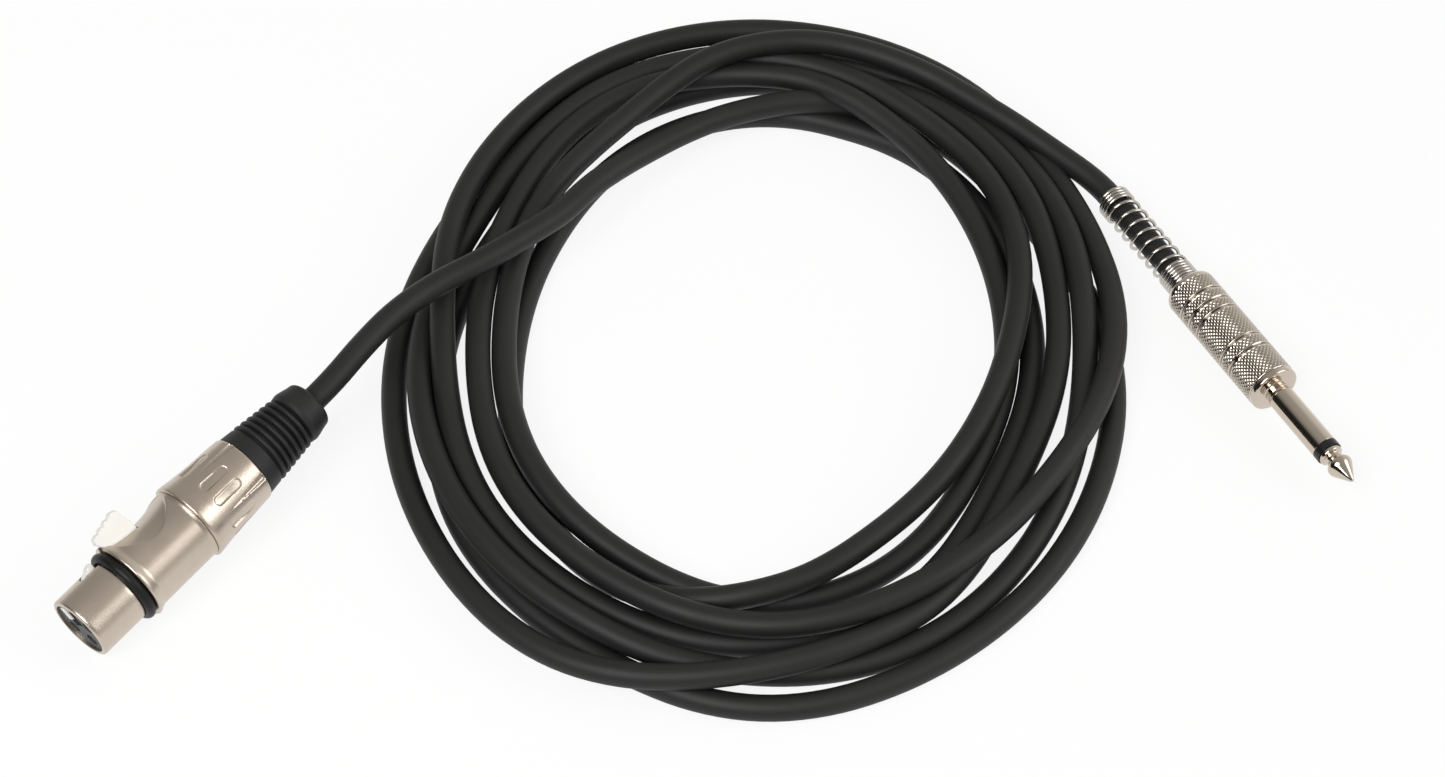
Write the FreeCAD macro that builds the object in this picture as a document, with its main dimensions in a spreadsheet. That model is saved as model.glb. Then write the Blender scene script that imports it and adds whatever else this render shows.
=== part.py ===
import FreeCAD, Part
import math
import os
import re
import Sketcher
from FreeCAD import Placement, Rotation, Vector

# A coiled microphone cable: a female three-pin connector with a push latch on one end,
# a 6.35 mm two-pole plug with a spring strain relief on the other. Millimetres, +Z up,
# standing on z = 0. Each connector is built along its own X axis, from its mating face
# (station 0) towards its cable, and is then laid down where it rests.

doc = FreeCAD.newDocument("xlr_cable_coil")
sheet = doc.addObject("Spreadsheet::Sheet", "Sizes")


# Driving dimensions

SIZES = {
    # where the parts lie on the floor
    "xlr_face_x": -140.035,
    "xlr_face_y": -62.842,
    "xlr_heading": 49.5,
    "xlr_roll": 42.0,
    "jack_face_x": 129.965,
    "jack_face_y": 5.758,
    "jack_heading": 119.3,
    "jack_tilt": 1.0,
    "coil_center_x": 10.3,
    "coil_center_y": 18.8,
    # fits
    "joint_gap": 0.05,
    "moving_gap": 0.3,
    "edge": 0.4,
    # connector housing
    "nose_radius": 8.0,
    "nose_length": 12.5,
    "nose_bore_radius": 6.9,
    "nose_bore_depth": 7.0,
    "core_bore_radius": 6.0,
    "seat_radius": 6.85,
    "seat_width": 2.7,
    "lip_radius": 10.0,
    "lip_length": 2.2,
    "lip_taper": 1.8,
    "housing_radius": 9.2,
    "housing_length": 34.4,
    "collar_radius": 9.7,
    "collar_length": 1.2,
    "thread_radius": 7.8,
    "thread_length": 5.4,
    "scoop_radius": 8.35,
    "scoop_length": 20.4,
    "scoop_width": 14.1,
    "scoop_center": 21.5,
    "ring_section": 2.6,
    # latch
    "latch_width": 4.4,
    "latch_height": 6.2,
    "latch_thickness": 1.8,
    "latch_front": 1.0,
    "tongue_width": 3.0,
    "tongue_length": 3.0,
    "tongue_depth": 1.2,
    "channel_room": 2.7,
    "hook_front": 6.4,
    "hook_back": 11.5,
    "hook_rise": 3.0,
    "tab_front": 15.9,
    "tab_length": 8.7,
    "tab_rise": 8.0,
    "pivot_station": 27.5,
    "pivot_height": 5.3,
    "pivot_radius": 0.7,
    "pivot_length": 8.4,
    "eye_radius": 1.5,
    # latch spring
    "press_wire": 0.35,
    "press_radius": 1.3,
    "press_turns": 4.0,
    "press_station": 20.0,
    "press_seat": 0.9,
    # insert and contacts
    "insert_recess": 0.6,
    "insert_length": 29.4,
    "contact_circle": 3.81,
    "contact_radius": 1.5,
    "contact_bore": 1.22,
    "contact_depth": 10.0,
    "contact_recess": 1.0,
    "contact_wall": 1.4,
    "stem_radius": 1.15,
    "cup_length": 4.0,
    # rear sleeve, clamp and boot
    "sleeve_radius": 10.05,
    "sleeve_chamfer": 1.2,
    "sleeve_middle_radius": 9.2,
    "sleeve_end_radius": 8.7,
    "sleeve_length": 18.2,
    "sleeve_shoulder": 4.6,
    "sleeve_bore": 7.6,
    "spigot_bore": 6.7,
    "clamp_length": 9.0,
    "clamp_bite": 0.05,
    "boot_radius": 8.35,
    "boot_end_radius": 5.8,
    "boot_length": 22.05,
    "boot_band": 4.0,
    "boot_cap": 6.3,
    "boot_round": 1.2,
    "rib_count": 6,
    "rib_depth": 0.8,
    # plug
    "plug_length": 31.0,
    "tip_radius": 3.05,
    "tip_cone": 4.5,
    "tip_waist": 7.3,
    "tip_waist_radius": 1.95,
    "tip_collar_length": 1.2,
    "tip_length": 9.3,
    "band_length": 1.8,
    "shaft_radius": 3.175,
    "undercut_radius": 2.85,
    "undercut_length": 2.2,
    "rod_radius": 1.1,
    "tube_wall": 0.45,
    "plate_length": 1.6,
    "plate_radius": 6.15,
    "boss_length": 6.4,
    "stub_radius": 3.5,
    "stub_length": 2.5,
    "washer_length": 1.0,
    "washer_radius": 3.0,
    "lug_thickness": 0.6,
    "lug_radius": 2.2,
    "lug_length": 5.0,
    "lug_ring_radius": 4.3,
    "arm_width": 2.4,
    "claw_gap": 0.5,
    "claw_length": 4.5,
    "claw_wall": 0.8,
    "shell_radius": 6.2,
    "shell_length": 34.8,
    "shell_shoulder": 1.6,
    "shell_bore": 5.05,
    "shell_rear_wall": 3.2,
    "liner_wall": 0.45,
    "liner_lip": 1.0,
    "groove_depth": 0.35,
    "groove_width": 0.8,
    # plug spring
    "spring_wire": 0.75,
    "spring_radius": 3.95,
    "spring_front_turns": 7.5,
    "spring_open_turns": 7.0,
    "spring_rear_turns": 2.25,
    "spring_closed_pitch": 1.25,
    "spring_open_pitch": 3.45,
    # cable
    "cable_diameter": 6.0,
    "core_diameter": 1.6,
    "core_spread": 1.55,
    "jacket_inset": 1.0,
    "claw_inset": 6.7,
    "coil_inner": 62.5,
    "coil_stretch": 15.0,
    "strand_gap": 2.3,
    "layer_gap": 0.8,
    "entry_rise": 5.0,
    "exit_rise": 3.0,
    "boot_lead": 9.0,
    "entry_lead": 8.0,
    "exit_lead": 7.0,
    "plug_lead": 10.0,
    "coil_start": 125.0,
    "coil_reverse": 1170.0,
    "coil_end": 2520.0,
}

GROOVE_STATIONS = ("8.15", "11.8", "21.65", "24.85", "28.25")

for row, (alias, value) in enumerate(SIZES.items(), start=1):
    sheet.set("A%d" % row, alias)
    sheet.set("B%d" % row, str(value))
    sheet.setAlias("B%d" % row, alias)
doc.recompute()


def size(alias):
    """The value of one driving dimension."""
    return float(sheet.get(alias))


def bound(text):
    """A formula with each driving dimension named as the sheet names it."""
    return re.sub(r"[a-z][a-z_]*", lambda word: "Sizes." + word.group(0), text)


def value_of(text):
    """The number that a formula of driving dimensions stands for."""
    return float(sheet.evalExpression(bound(text)))


# Builders: every size is a formula of driving dimensions

def profile(body, label, plane_role, outline):
    """A closed outline of (across, up) formulas on one of the body's own planes."""
    sketch = body.newObject("Sketcher::SketchObject", label + "_outline")
    plane = next(f for f in body.Origin.OriginFeatures if f.Role == plane_role)
    sketch.AttachmentSupport = (plane, "")
    sketch.MapMode = "FlatFace"
    points = [Vector(value_of(across), value_of(up), 0) for across, up in outline]
    count = len(points)
    for index in range(count):
        sketch.addGeometry(Part.LineSegment(points[index], points[(index + 1) % count]), False)
    for index in range(count):
        sketch.addConstraint(Sketcher.Constraint("Coincident", index, 2, (index + 1) % count, 1))
    for index, (across, up) in enumerate(outline):
        at = points[index]
        number = sketch.addConstraint(Sketcher.Constraint("DistanceX", -1, 1, index, 1, at.x))
        sketch.setExpression("Constraints[%d]" % number, bound(across))
        number = sketch.addConstraint(Sketcher.Constraint("DistanceY", -1, 1, index, 1, at.y))
        sketch.setExpression("Constraints[%d]" % number, bound(up))
    return sketch


def turned(label, outline):
    """A body turned about X from an outline of stations and radii."""
    body = doc.addObject("PartDesign::Body", label)
    sketch = profile(body, label, "XY_Plane", outline)
    spin = body.newObject("PartDesign::Revolution", label + "_turn")
    spin.Profile = sketch
    spin.ReferenceAxis = (sketch, ["H_Axis"])
    spin.Angle = 360.0
    return body


def round_bar(label, radius, start, end):
    """A solid round body along X between two stations."""
    return turned(label, [(start, "0"), (start, radius), (end, radius), (end, "0")])


def plate(label, outline, width):
    """A plate cut to an outline of stations and heights, centred on Y = 0."""
    body = doc.addObject("PartDesign::Body", label)
    sketch = profile(body, label, "XZ_Plane", outline)
    pad = body.newObject("PartDesign::Pad", label + "_pad")
    pad.Profile = sketch
    pad.Midplane = True
    pad.setExpression("Length", bound(width))
    return body


def block(label, start, end, width, low, high):
    """A box from one station to another, centred on Y = 0, from low to high."""
    box = doc.addObject("Part::Box", label)
    box.setExpression("Length", bound("%s - (%s)" % (end, start)))
    box.setExpression("Width", bound(width))
    box.setExpression("Height", bound("%s - (%s)" % (high, low)))
    box.setExpression("Placement.Base.x", bound(start))
    box.setExpression("Placement.Base.y", bound("-0.5 * (%s)" % width))
    box.setExpression("Placement.Base.z", bound(low))
    return box


def rod(label, radius, start, end, y="0", z="0"):
    """A round bar along X between two stations."""
    bar = doc.addObject("Part::Cylinder", label)
    bar.Placement = Placement(Vector(), Rotation(Vector(0, 1, 0), 90))
    bar.setExpression("Radius", bound(radius))
    bar.setExpression("Height", bound("%s - (%s)" % (end, start)))
    bar.setExpression("Placement.Base.x", bound(start))
    bar.setExpression("Placement.Base.y", bound(y))
    bar.setExpression("Placement.Base.z", bound(z))
    return bar


def cross_rod(label, radius, length, station, height):
    """A round bar along Y, centred on Y = 0."""
    bar = doc.addObject("Part::Cylinder", label)
    bar.Placement = Placement(Vector(), Rotation(Vector(1, 0, 0), -90))
    bar.setExpression("Radius", bound(radius))
    bar.setExpression("Height", bound(length))
    bar.setExpression("Placement.Base.x", bound(station))
    bar.setExpression("Placement.Base.y", bound("-0.5 * (%s)" % length))
    bar.setExpression("Placement.Base.z", bound(height))
    return bar


def upright_rod(label, radius, low, high, station):
    """A round bar along Z."""
    bar = doc.addObject("Part::Cylinder", label)
    bar.setExpression("Radius", bound(radius))
    bar.setExpression("Height", bound("%s - (%s)" % (high, low)))
    bar.setExpression("Placement.Base.x", bound(station))
    bar.setExpression("Placement.Base.z", bound(low))
    return bar


def cut(label, base, *tools):
    """The base less all of the tools."""
    tool = tools[0]
    if len(tools) > 1:
        tool = doc.addObject("Part::MultiFuse", label + "_tools")
        tool.Shapes = list(tools)
    result = doc.addObject("Part::Cut", label)
    result.Base = base
    result.Tool = tool
    return result


def join(label, *shapes):
    """All of the shapes as one solid."""
    result = doc.addObject("Part::MultiFuse", label)
    result.Shapes = list(shapes)
    return result


# Paths of wound and laid tubes

def arc_between(start, heading, end):
    """The edge that leaves start along heading and reaches end in one arc."""
    chord = end - start
    along = Vector(chord).normalize()
    side = heading - along * heading.dot(along)
    if side.Length < 1e-7:
        return Part.LineSegment(start, end).toShape()
    side.normalize()
    half_turn = heading.getAngle(along)
    middle = (start + end) * 0.5 + side * (chord.Length / 2 * math.tan(half_turn / 2))
    return Part.Arc(start, middle, end).toShape()


def biarc(start, heading, end, final_heading):
    """Two arcs that leave start along heading and reach end along final_heading."""
    gap = end - start
    both = heading + final_heading
    spread = 1 - heading.dot(final_heading)
    if spread < 1e-9:
        reach = gap.dot(gap) / (4 * gap.dot(final_heading))
    else:
        root = math.sqrt(gap.dot(both) ** 2 + 2 * spread * gap.dot(gap))
        reach = (root - gap.dot(both)) / (2 * spread)
    middle = (start + end + (heading - final_heading) * reach) * 0.5
    turned_in = (middle - start - heading * reach).normalize()
    return [arc_between(start, heading, middle), arc_between(middle, turned_in, end)]


def wound_path(place, stops, lead):
    """Biarcs through the stops of a curve, with a straight lead at each end."""
    small = 1e-4

    def heading(stop):
        return (place(stop + small) - place(stop - small)).normalize()

    first = place(stops[0]) - heading(stops[0] + small) * lead
    last = place(stops[-1]) + heading(stops[-1] - small) * lead
    edges = [Part.LineSegment(first, place(stops[0])).toShape()]
    for here, there in zip(stops, stops[1:]):
        start = heading(here + small if here == stops[0] else here)
        end = heading(there - small if there == stops[-1] else there)
        edges += biarc(place(here), start, place(there), end)
    edges.append(Part.LineSegment(place(stops[-1]), last).toShape())
    return edges


def laid_path(label, points):
    """Straight runs joined by tangent arcs as large as their two runs allow."""
    edges = []
    radii = []
    here = points[0]
    for before, corner, after in zip(points, points[1:], points[2:]):
        inward = corner - before
        outward = after - corner
        half_turn = inward.getAngle(outward) / 2
        reach = 0.45 * min(inward.Length, outward.Length)
        radii.append(reach / math.tan(half_turn))
        direction = inward.normalize()
        enter = corner - direction * reach
        leave = corner + outward.normalize() * reach
        edges.append(Part.LineSegment(here, enter).toShape())
        edges.append(arc_between(enter, direction, leave))
        here = leave
    edges.append(Part.LineSegment(here, points[-1]).toShape())
    print("%s: arc radii %s mm" % (label, " ".join("%.1f" % radius for radius in radii)))
    return edges


def tube(label, edges, diameter):
    """A round tube swept along the edges, checked against its section and length."""
    spine = Part.Wire(edges)
    first = edges[0].Vertexes[0].Point
    direction = edges[0].Vertexes[-1].Point - first
    ring = Part.Wire(Part.Circle(first, direction, diameter / 2).toShape())
    solid = spine.makePipeShell([ring], True, False)
    if solid.Volume < 0:
        solid.reverse()
    part = doc.addObject("Part::Feature", label)
    part.Shape = solid
    whole = math.pi * diameter ** 2 / 4 * spine.Length
    print("%s: length %.1f mm, volume %.4f of section times length"
          % (label, spine.Length, solid.Volume / whole))
    return part


def points_along(edges, step):
    """Points about one step apart along the edges, with their lengths from the start."""
    points = []
    run = 0.0
    for edge in edges:
        count = max(2, int(math.ceil(edge.Length / step)))
        for index in range(count):
            along = edge.Length * index / count
            points.append((run + along, edge.valueAt(edge.getParameterByLength(along))))
        run += edge.Length
    return points


def least_gap(label, edges, others, diameter, step, apart):
    """The least gap between two tubes, or of one to itself further than apart along it."""
    size = 3 * diameter
    near = {}
    for run, point in points_along(others, step):
        near.setdefault(tuple(int(value // size) for value in point), []).append((run, point))
    least = size
    nearest = None
    for run, point in points_along(edges, step):
        x, y, z = (int(value // size) for value in point)
        around = [(x + i, y + j, z + k) for i in (-1, 0, 1) for j in (-1, 0, 1) for k in (-1, 0, 1)]
        for box in around:
            for other_run, other in near.get(box, []):
                distance = point.distanceToPoint(other)
                if distance < least and (edges is not others or other_run - run > apart):
                    least = distance
                    nearest = point
    print("%s: least gap %.2f mm near %.0f %.0f %.0f"
          % (label, least - diameter, nearest.x, nearest.y, nearest.z))


# Stations along the connector, from its face

SEAT_END = "(nose_length + seat_width)"
LIP_END = "(nose_length + seat_width + lip_length)"
COLLAR_START = "(housing_length - collar_length)"
THREAD_START = "(housing_length - thread_length)"
SLEEVE_END = "(housing_length + sleeve_length)"
BOOT_END = "(housing_length + sleeve_length + boot_length)"
CLAMP_START = "(housing_length + sleeve_shoulder)"
CLAMP_END = "(housing_length + sleeve_shoulder + clamp_length)"
JACKET_START = "(housing_length + sleeve_shoulder + jacket_inset)"
INSERT_END = "(insert_recess + insert_length)"
CONTACT_START = "(insert_recess + contact_recess)"
CONTACT_END = "(insert_recess + contact_recess + contact_depth + contact_wall)"
TONGUE_END = "(latch_front + tongue_length)"
SLOT_WIDTH = "(latch_width + 2 * moving_gap)"
SLOT_END = "(tab_front + tab_length + 0.7)"
LEVER_BOTTOM = "(latch_height - latch_thickness)"
TONGUE_BOTTOM = "(latch_height - latch_thickness - tongue_depth)"
ROOM_BELOW = "(pivot_height - eye_radius - moving_gap)"
ROOM_ABOVE = "(pivot_height + eye_radius + moving_gap)"
CHANNEL_FLOOR = "(latch_height - latch_thickness - channel_room)"

# Y and Z of the three contacts, with the latch on top
CONTACT_PLACES = {"1": ("contact_circle", "0"),
                  "2": ("-contact_circle", "0"),
                  "3": ("0", "-contact_circle")}


def xlr_housing():
    """Metal shell: nose, ring seat, lip, slotted body, oval dish and threaded rear."""
    shell = turned("housing_blank", [
        ("0", "nose_bore_radius"),
        ("0", "nose_radius - edge"),
        ("edge", "nose_radius"),
        ("nose_length", "nose_radius"),
        ("nose_length", "seat_radius"),
        (SEAT_END, "seat_radius"),
        (SEAT_END, "lip_radius - edge"),
        (SEAT_END + " + edge", "lip_radius"),
        (LIP_END, "lip_radius"),
        (LIP_END + " + lip_taper", "housing_radius"),
        (COLLAR_START + " - edge", "housing_radius"),
        (COLLAR_START, "collar_radius"),
        ("housing_length", "collar_radius"),
        ("housing_length", "thread_radius"),
        (THREAD_START, "thread_radius"),
        (THREAD_START, "core_bore_radius"),
        ("nose_bore_depth", "core_bore_radius"),
        ("nose_bore_depth", "nose_bore_radius"),
    ])
    slot = block("housing_slot", "nose_bore_depth", SLOT_END, SLOT_WIDTH,
                 LEVER_BOTTOM + " - moving_gap", "lip_radius + 1")
    pocket = block("housing_pocket", SLOT_END + " - 1",
                   "pivot_station + eye_radius + 2 * moving_gap", SLOT_WIDTH, ROOM_BELOW,
                   ROOM_ABOVE)
    hole = cross_rod("housing_pin_hole", "pivot_radius", "pivot_length", "pivot_station",
                     "pivot_height")
    band = rod("scoop_band", "lip_radius + 2", SEAT_END, "housing_length")
    core = rod("scoop_core", "scoop_radius", SEAT_END + " - 1", "housing_length + 1")
    skin = cut("scoop_skin", band, core)
    oval = doc.addObject("Part::Ellipsoid", "scoop_oval")
    oval.setExpression("Radius1", bound("lip_radius * 3"))
    oval.setExpression("Radius2", bound("scoop_length / 2"))
    oval.setExpression("Radius3", bound("scoop_width / 2"))
    oval.setExpression("Placement.Base.x", bound("scoop_center"))
    above = block("scoop_side", SEAT_END, "housing_length", "2 * lip_radius + 4", "0",
                  "lip_radius + 2")
    dish = doc.addObject("Part::MultiCommon", "scoop_dish")
    dish.Shapes = [skin, oval, above]
    return cut("xlr_housing", shell, slot, pocket, hole, dish)


def xlr_o_ring():
    """Rubber ring in the seat behind the nose."""
    ring = doc.addObject("Part::Torus", "xlr_o_ring")
    ring.setExpression("Radius1", bound("seat_radius + ring_section / 2"))
    ring.setExpression("Radius2", bound("ring_section / 2"))
    return ring


def xlr_insert():
    """Plastic carrier: contact holes, channel for the latch, pocket for its spring."""
    blank = turned("insert_blank", [
        ("insert_recess", "0"),
        ("insert_recess", "nose_bore_radius - joint_gap"),
        ("nose_bore_depth", "nose_bore_radius - joint_gap"),
        ("nose_bore_depth", "core_bore_radius - joint_gap"),
        (INSERT_END, "core_bore_radius - joint_gap"),
        (INSERT_END, "0"),
    ])
    tools = []
    for number, (y, z) in CONTACT_PLACES.items():
        tools.append(rod("insert_hole_" + number, "contact_radius + joint_gap",
                         "insert_recess - 1", CONTACT_END, y, z))
        tools.append(rod("insert_stem_hole_" + number, "stem_radius + joint_gap",
                         CONTACT_END + " - 1", INSERT_END + " + 1", y, z))
    tools.append(block("insert_tongue_slot", "insert_recess - 1", TONGUE_END + " + 2 * moving_gap",
                       "tongue_width + 2 * moving_gap", TONGUE_BOTTOM + " - channel_room",
                       "nose_bore_radius"))
    tools.append(plate("insert_channel", [
        (TONGUE_END + " - 1", CHANNEL_FLOOR),
        (TONGUE_END + " - 1", "nose_bore_radius"),
        (INSERT_END + " + 1", "nose_bore_radius"),
        (INSERT_END + " + 1", ROOM_BELOW),
        ("pivot_station - 2 * eye_radius", ROOM_BELOW),
    ], SLOT_WIDTH + " + moving_gap"))
    tools.append(block("insert_flat", "pivot_station - 2 * eye_radius", INSERT_END + " + 1",
                       "2 * nose_bore_radius", ROOM_BELOW, "nose_bore_radius"))
    tools.append(upright_rod("insert_spring_pocket", "press_radius + press_wire / 2 + moving_gap",
                             "press_seat", "nose_bore_radius", "press_station"))
    return cut("xlr_insert", blank, *tools)


def xlr_contact(number):
    """One socket contact: split-pin bore in front, solder cup behind."""
    y, z = CONTACT_PLACES[number]
    barrel = rod("contact_barrel_" + number, "contact_radius", CONTACT_START, CONTACT_END, y, z)
    stem = rod("contact_stem_" + number, "stem_radius", CONTACT_END, INSERT_END + " + cup_length",
               y, z)
    bore = rod("contact_bore_" + number, "contact_bore", CONTACT_START + " - 1",
               CONTACT_START + " + contact_depth", y, z)
    cup = rod("contact_cup_" + number, "core_diameter / 2 + joint_gap", INSERT_END,
              INSERT_END + " + cup_length + 1", y, z)
    return cut("xlr_contact_" + number, join("contact_blank_" + number, barrel, stem), bore, cup)


def xlr_latch():
    """Rocking lever: front tongue, hook, grooved push tab and pivot eye."""
    tab_top = "latch_height + tab_rise"
    lever = plate("latch_lever", [
        (TONGUE_END + " - 0.4", LEVER_BOTTOM),
        (TONGUE_END + " - 0.4", "latch_height"),
        ("hook_front", "latch_height"),
        ("hook_back - 1.1", "latch_height + hook_rise"),
        ("hook_back - 0.2", "latch_height + hook_rise"),
        ("hook_back", "latch_height"),
        ("tab_front", "latch_height"),
        ("tab_front", tab_top + " - 4.6"),
        ("tab_front - 1", tab_top + " - 3"),
        ("tab_front - 0.8", tab_top + " - 1.6"),
        ("tab_front + 1", tab_top + " - 1"),
        ("tab_front + 1.4", tab_top + " - 1.3"),
        ("tab_front + 3.2", tab_top + " - 0.6"),
        ("tab_front + 3.6", tab_top + " - 0.9"),
        ("tab_front + 5.4", tab_top + " - 0.2"),
        ("tab_front + 5.8", tab_top + " - 0.4"),
        ("tab_front + tab_length - 1.8", tab_top),
        ("tab_front + tab_length - 0.7", tab_top + " - 1.1"),
        ("tab_front + tab_length", tab_top + " - 4.8"),
        ("tab_front + tab_length", "latch_height"),
        ("pivot_station", "latch_height"),
        ("pivot_station", LEVER_BOTTOM),
    ], "latch_width")
    tongue = block("latch_tongue", "latch_front", TONGUE_END, "tongue_width", TONGUE_BOTTOM,
                   "latch_height")
    eye = cross_rod("latch_eye", "eye_radius", "latch_width", "pivot_station", "pivot_height")
    hole = cross_rod("latch_hole", "pivot_radius + joint_gap", "latch_width + 2",
                     "pivot_station", "pivot_height")
    return cut("xlr_latch", join("latch_blank", lever, tongue, eye), hole)


def xlr_latch_pin():
    """Hinge pin of the latch, pressed into the housing at both ends."""
    pin = round_bar("xlr_latch_pin", "pivot_radius", "-pivot_length / 2", "pivot_length / 2")
    pin.Placement = Placement(Vector(size("pivot_station"), 0, size("pivot_height")),
                              Rotation(Vector(0, 0, 1), 90))
    return pin


def xlr_latch_spring():
    """Small compression spring between the insert and the latch."""
    wire = size("press_wire")
    radius = size("press_radius")
    turns = size("press_turns")
    low = size("press_seat") + wire * 0.62
    high = value_of(LEVER_BOTTOM) - wire * 0.62
    middle = size("press_station")

    def place(turn):
        angle = 2 * math.pi * turn
        rise = low + (high - low) * turn / turns
        return Vector(middle + radius * math.cos(angle), radius * math.sin(angle), rise)

    stops = [index / 4 for index in range(int(round(turns * 4)) + 1)]
    edges = wound_path(place, stops, wire)
    least_gap("xlr_latch_spring to itself", edges, edges, wire, 0.08, 2 * wire + radius)
    return tube("xlr_latch_spring", edges, wire)


def xlr_rear_sleeve():
    """Tapered metal sleeve that screws into the housing and holds clamp and boot."""
    return turned("xlr_rear_sleeve", [
        (THREAD_START + " + moving_gap", "spigot_bore"),
        (THREAD_START + " + moving_gap", "thread_radius - joint_gap"),
        ("housing_length", "thread_radius - joint_gap"),
        ("housing_length", "sleeve_radius - sleeve_chamfer / 2"),
        ("housing_length + sleeve_chamfer", "sleeve_radius"),
        ("housing_length + sleeve_shoulder - 1", "sleeve_radius - edge"),
        ("housing_length + sleeve_length / 2", "sleeve_middle_radius"),
        (SLEEVE_END + " - edge", "sleeve_end_radius"),
        (SLEEVE_END, "sleeve_end_radius - edge"),
        (SLEEVE_END, "sleeve_bore"),
        (CLAMP_START, "sleeve_bore"),
        (CLAMP_START, "spigot_bore"),
    ])


def xlr_clamp():
    """Collet that grips the cable jacket inside the sleeve."""
    return turned("xlr_clamp", [
        (CLAMP_START, "cable_diameter / 2 - clamp_bite"),
        (CLAMP_START, "sleeve_bore - joint_gap"),
        (CLAMP_END, "sleeve_bore - joint_gap"),
        (CLAMP_END, "cable_diameter / 2 - clamp_bite"),
    ])


def xlr_boot():
    """Ribbed rubber boot with a flange held inside the sleeve."""
    ribbed = "(boot_length - boot_band - boot_cap)"
    drop = "(boot_radius - boot_end_radius)"
    outline = [
        (CLAMP_END, "cable_diameter / 2 + joint_gap"),
        (CLAMP_END, "sleeve_bore - joint_gap"),
        (SLEEVE_END, "sleeve_bore - joint_gap"),
        (SLEEVE_END, "boot_radius"),
    ]
    ribs = int(size("rib_count"))
    for index in range(ribs + 1):
        for share, depth in ((0.0, "0"), (0.12, "rib_depth"), (0.38, "rib_depth"), (0.5, "0")):
            along = "(boot_band + %s * %.4f)" % (ribbed, (index + share) / (ribs + 0.5))
            outline.append((SLEEVE_END + " + " + along,
                            "boot_radius - %s * %s / boot_length - %s" % (drop, along, depth)))
    outline += [
        (BOOT_END + " - boot_round", "boot_end_radius"),
        (BOOT_END + " - boot_round * 0.3", "boot_end_radius - boot_round * 0.3"),
        (BOOT_END, "boot_end_radius - boot_round"),
        (BOOT_END, "cable_diameter / 2 + joint_gap"),
    ]
    return turned("xlr_boot", outline)


def core_path(label, start, end, first, last):
    """A cable core from a contact's cup to the cut face of the jacket."""
    room = end.x - start.x
    points = [start, start + Vector(room * first, 0, 0), end - Vector(room * last, 0, 0), end]
    return laid_path(label, points)


def xlr_core(label, number, side):
    """One core, from a contact's solder cup to the jacket in the clamp."""
    y, z = CONTACT_PLACES[number]
    start = Vector(value_of(INSERT_END), value_of(y), value_of(z))
    end = Vector(value_of(JACKET_START), side * size("core_spread"), 0)
    return tube(label, core_path(label, start, end, 0.52, 0.18), size("core_diameter"))


def cable_end_xlr():
    """Jacketed cable inside the clamp and boot."""
    return round_bar("cable_end_xlr", "cable_diameter / 2", JACKET_START, BOOT_END)


# Stations along the plug, from the front of its plate: the shaft is on the minus side

TIP_END = "(tip_length - plug_length)"
BAND_END = "(tip_length + band_length - plug_length)"
PLATE_END = "plate_length"
BOSS_END = "(plate_length + boss_length)"
STUB_END = "(plate_length + boss_length + stub_length)"
WASHER_END = "(plate_length + boss_length + stub_length + washer_length)"
LUG_END = "(plate_length + boss_length + stub_length + washer_length + lug_thickness)"
SHELL_END = "(plate_length + shell_length)"
SHELL_STOP = "(plate_length + shell_length - shell_rear_wall)"
LIP_REAR = "(plate_length + shell_length - shell_rear_wall - liner_lip)"
PLUG_JACKET = "(plate_length + shell_length - shell_rear_wall - liner_lip - claw_inset)"
TUBE_RADIUS = "(rod_radius + joint_gap + tube_wall)"
SPRING_OUTER = "(spring_radius + spring_wire / 2)"
SPRING_LENGTH = ("(spring_closed_pitch * (spring_front_turns + spring_rear_turns)"
                 " + spring_open_pitch * spring_open_turns)")
SPRING_END = "(" + LIP_REAR + " + spring_wire + " + SPRING_LENGTH + ")"
CABLE_OUT = "(" + SPRING_END + " + 0.5)"


def jack_tip():
    """Tip of the plug with its rod through the plug."""
    return turned("jack_tip", [
        ("-plug_length", "0"),
        ("-plug_length", "tip_radius * 0.18"),
        ("tip_cone * 0.16 - plug_length", "tip_radius * 0.42"),
        ("tip_cone - 0.5 - plug_length", "tip_radius - 0.12"),
        ("tip_cone - plug_length", "tip_radius"),
        ("tip_cone + 0.4 - plug_length", "tip_radius - 0.12"),
        ("tip_waist - plug_length", "tip_waist_radius"),
        (TIP_END + " - tip_collar_length", "tip_waist_radius"),
        (TIP_END + " - tip_collar_length", "undercut_radius"),
        (TIP_END, "undercut_radius"),
        (TIP_END, "rod_radius"),
        (LUG_END + " + lug_thickness", "rod_radius"),
        (LUG_END + " + lug_thickness", "0"),
    ])


def jack_insulator():
    """Insulating band behind the tip with a tube round the rod."""
    return turned("jack_insulator", [
        (TIP_END, "rod_radius + joint_gap"),
        (TIP_END, "shaft_radius"),
        (BAND_END, "shaft_radius"),
        (BAND_END, TUBE_RADIUS),
        (STUB_END, TUBE_RADIUS),
        (STUB_END, "rod_radius + joint_gap"),
    ])


def jack_sleeve():
    """Shaft, front plate and threaded boss of the plug in one piece."""
    return turned("jack_sleeve", [
        (BAND_END, TUBE_RADIUS + " + joint_gap"),
        (BAND_END, "shaft_radius"),
        ("-undercut_length", "shaft_radius"),
        ("-undercut_length", "undercut_radius"),
        ("0", "undercut_radius"),
        ("0", "plate_radius - edge"),
        ("edge", "plate_radius"),
        (PLATE_END, "plate_radius"),
        (PLATE_END, "shell_bore - joint_gap"),
        (BOSS_END, "shell_bore - joint_gap"),
        (BOSS_END, "stub_radius"),
        (STUB_END, "stub_radius"),
        (STUB_END, TUBE_RADIUS + " + joint_gap"),
    ])


def jack_rear_washer():
    """Insulating washer between the plug's two solder lugs."""
    return turned("jack_rear_washer", [
        (STUB_END, "rod_radius + joint_gap"),
        (STUB_END, "washer_radius"),
        (WASHER_END, "washer_radius"),
        (WASHER_END, "rod_radius + joint_gap"),
    ])


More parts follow.
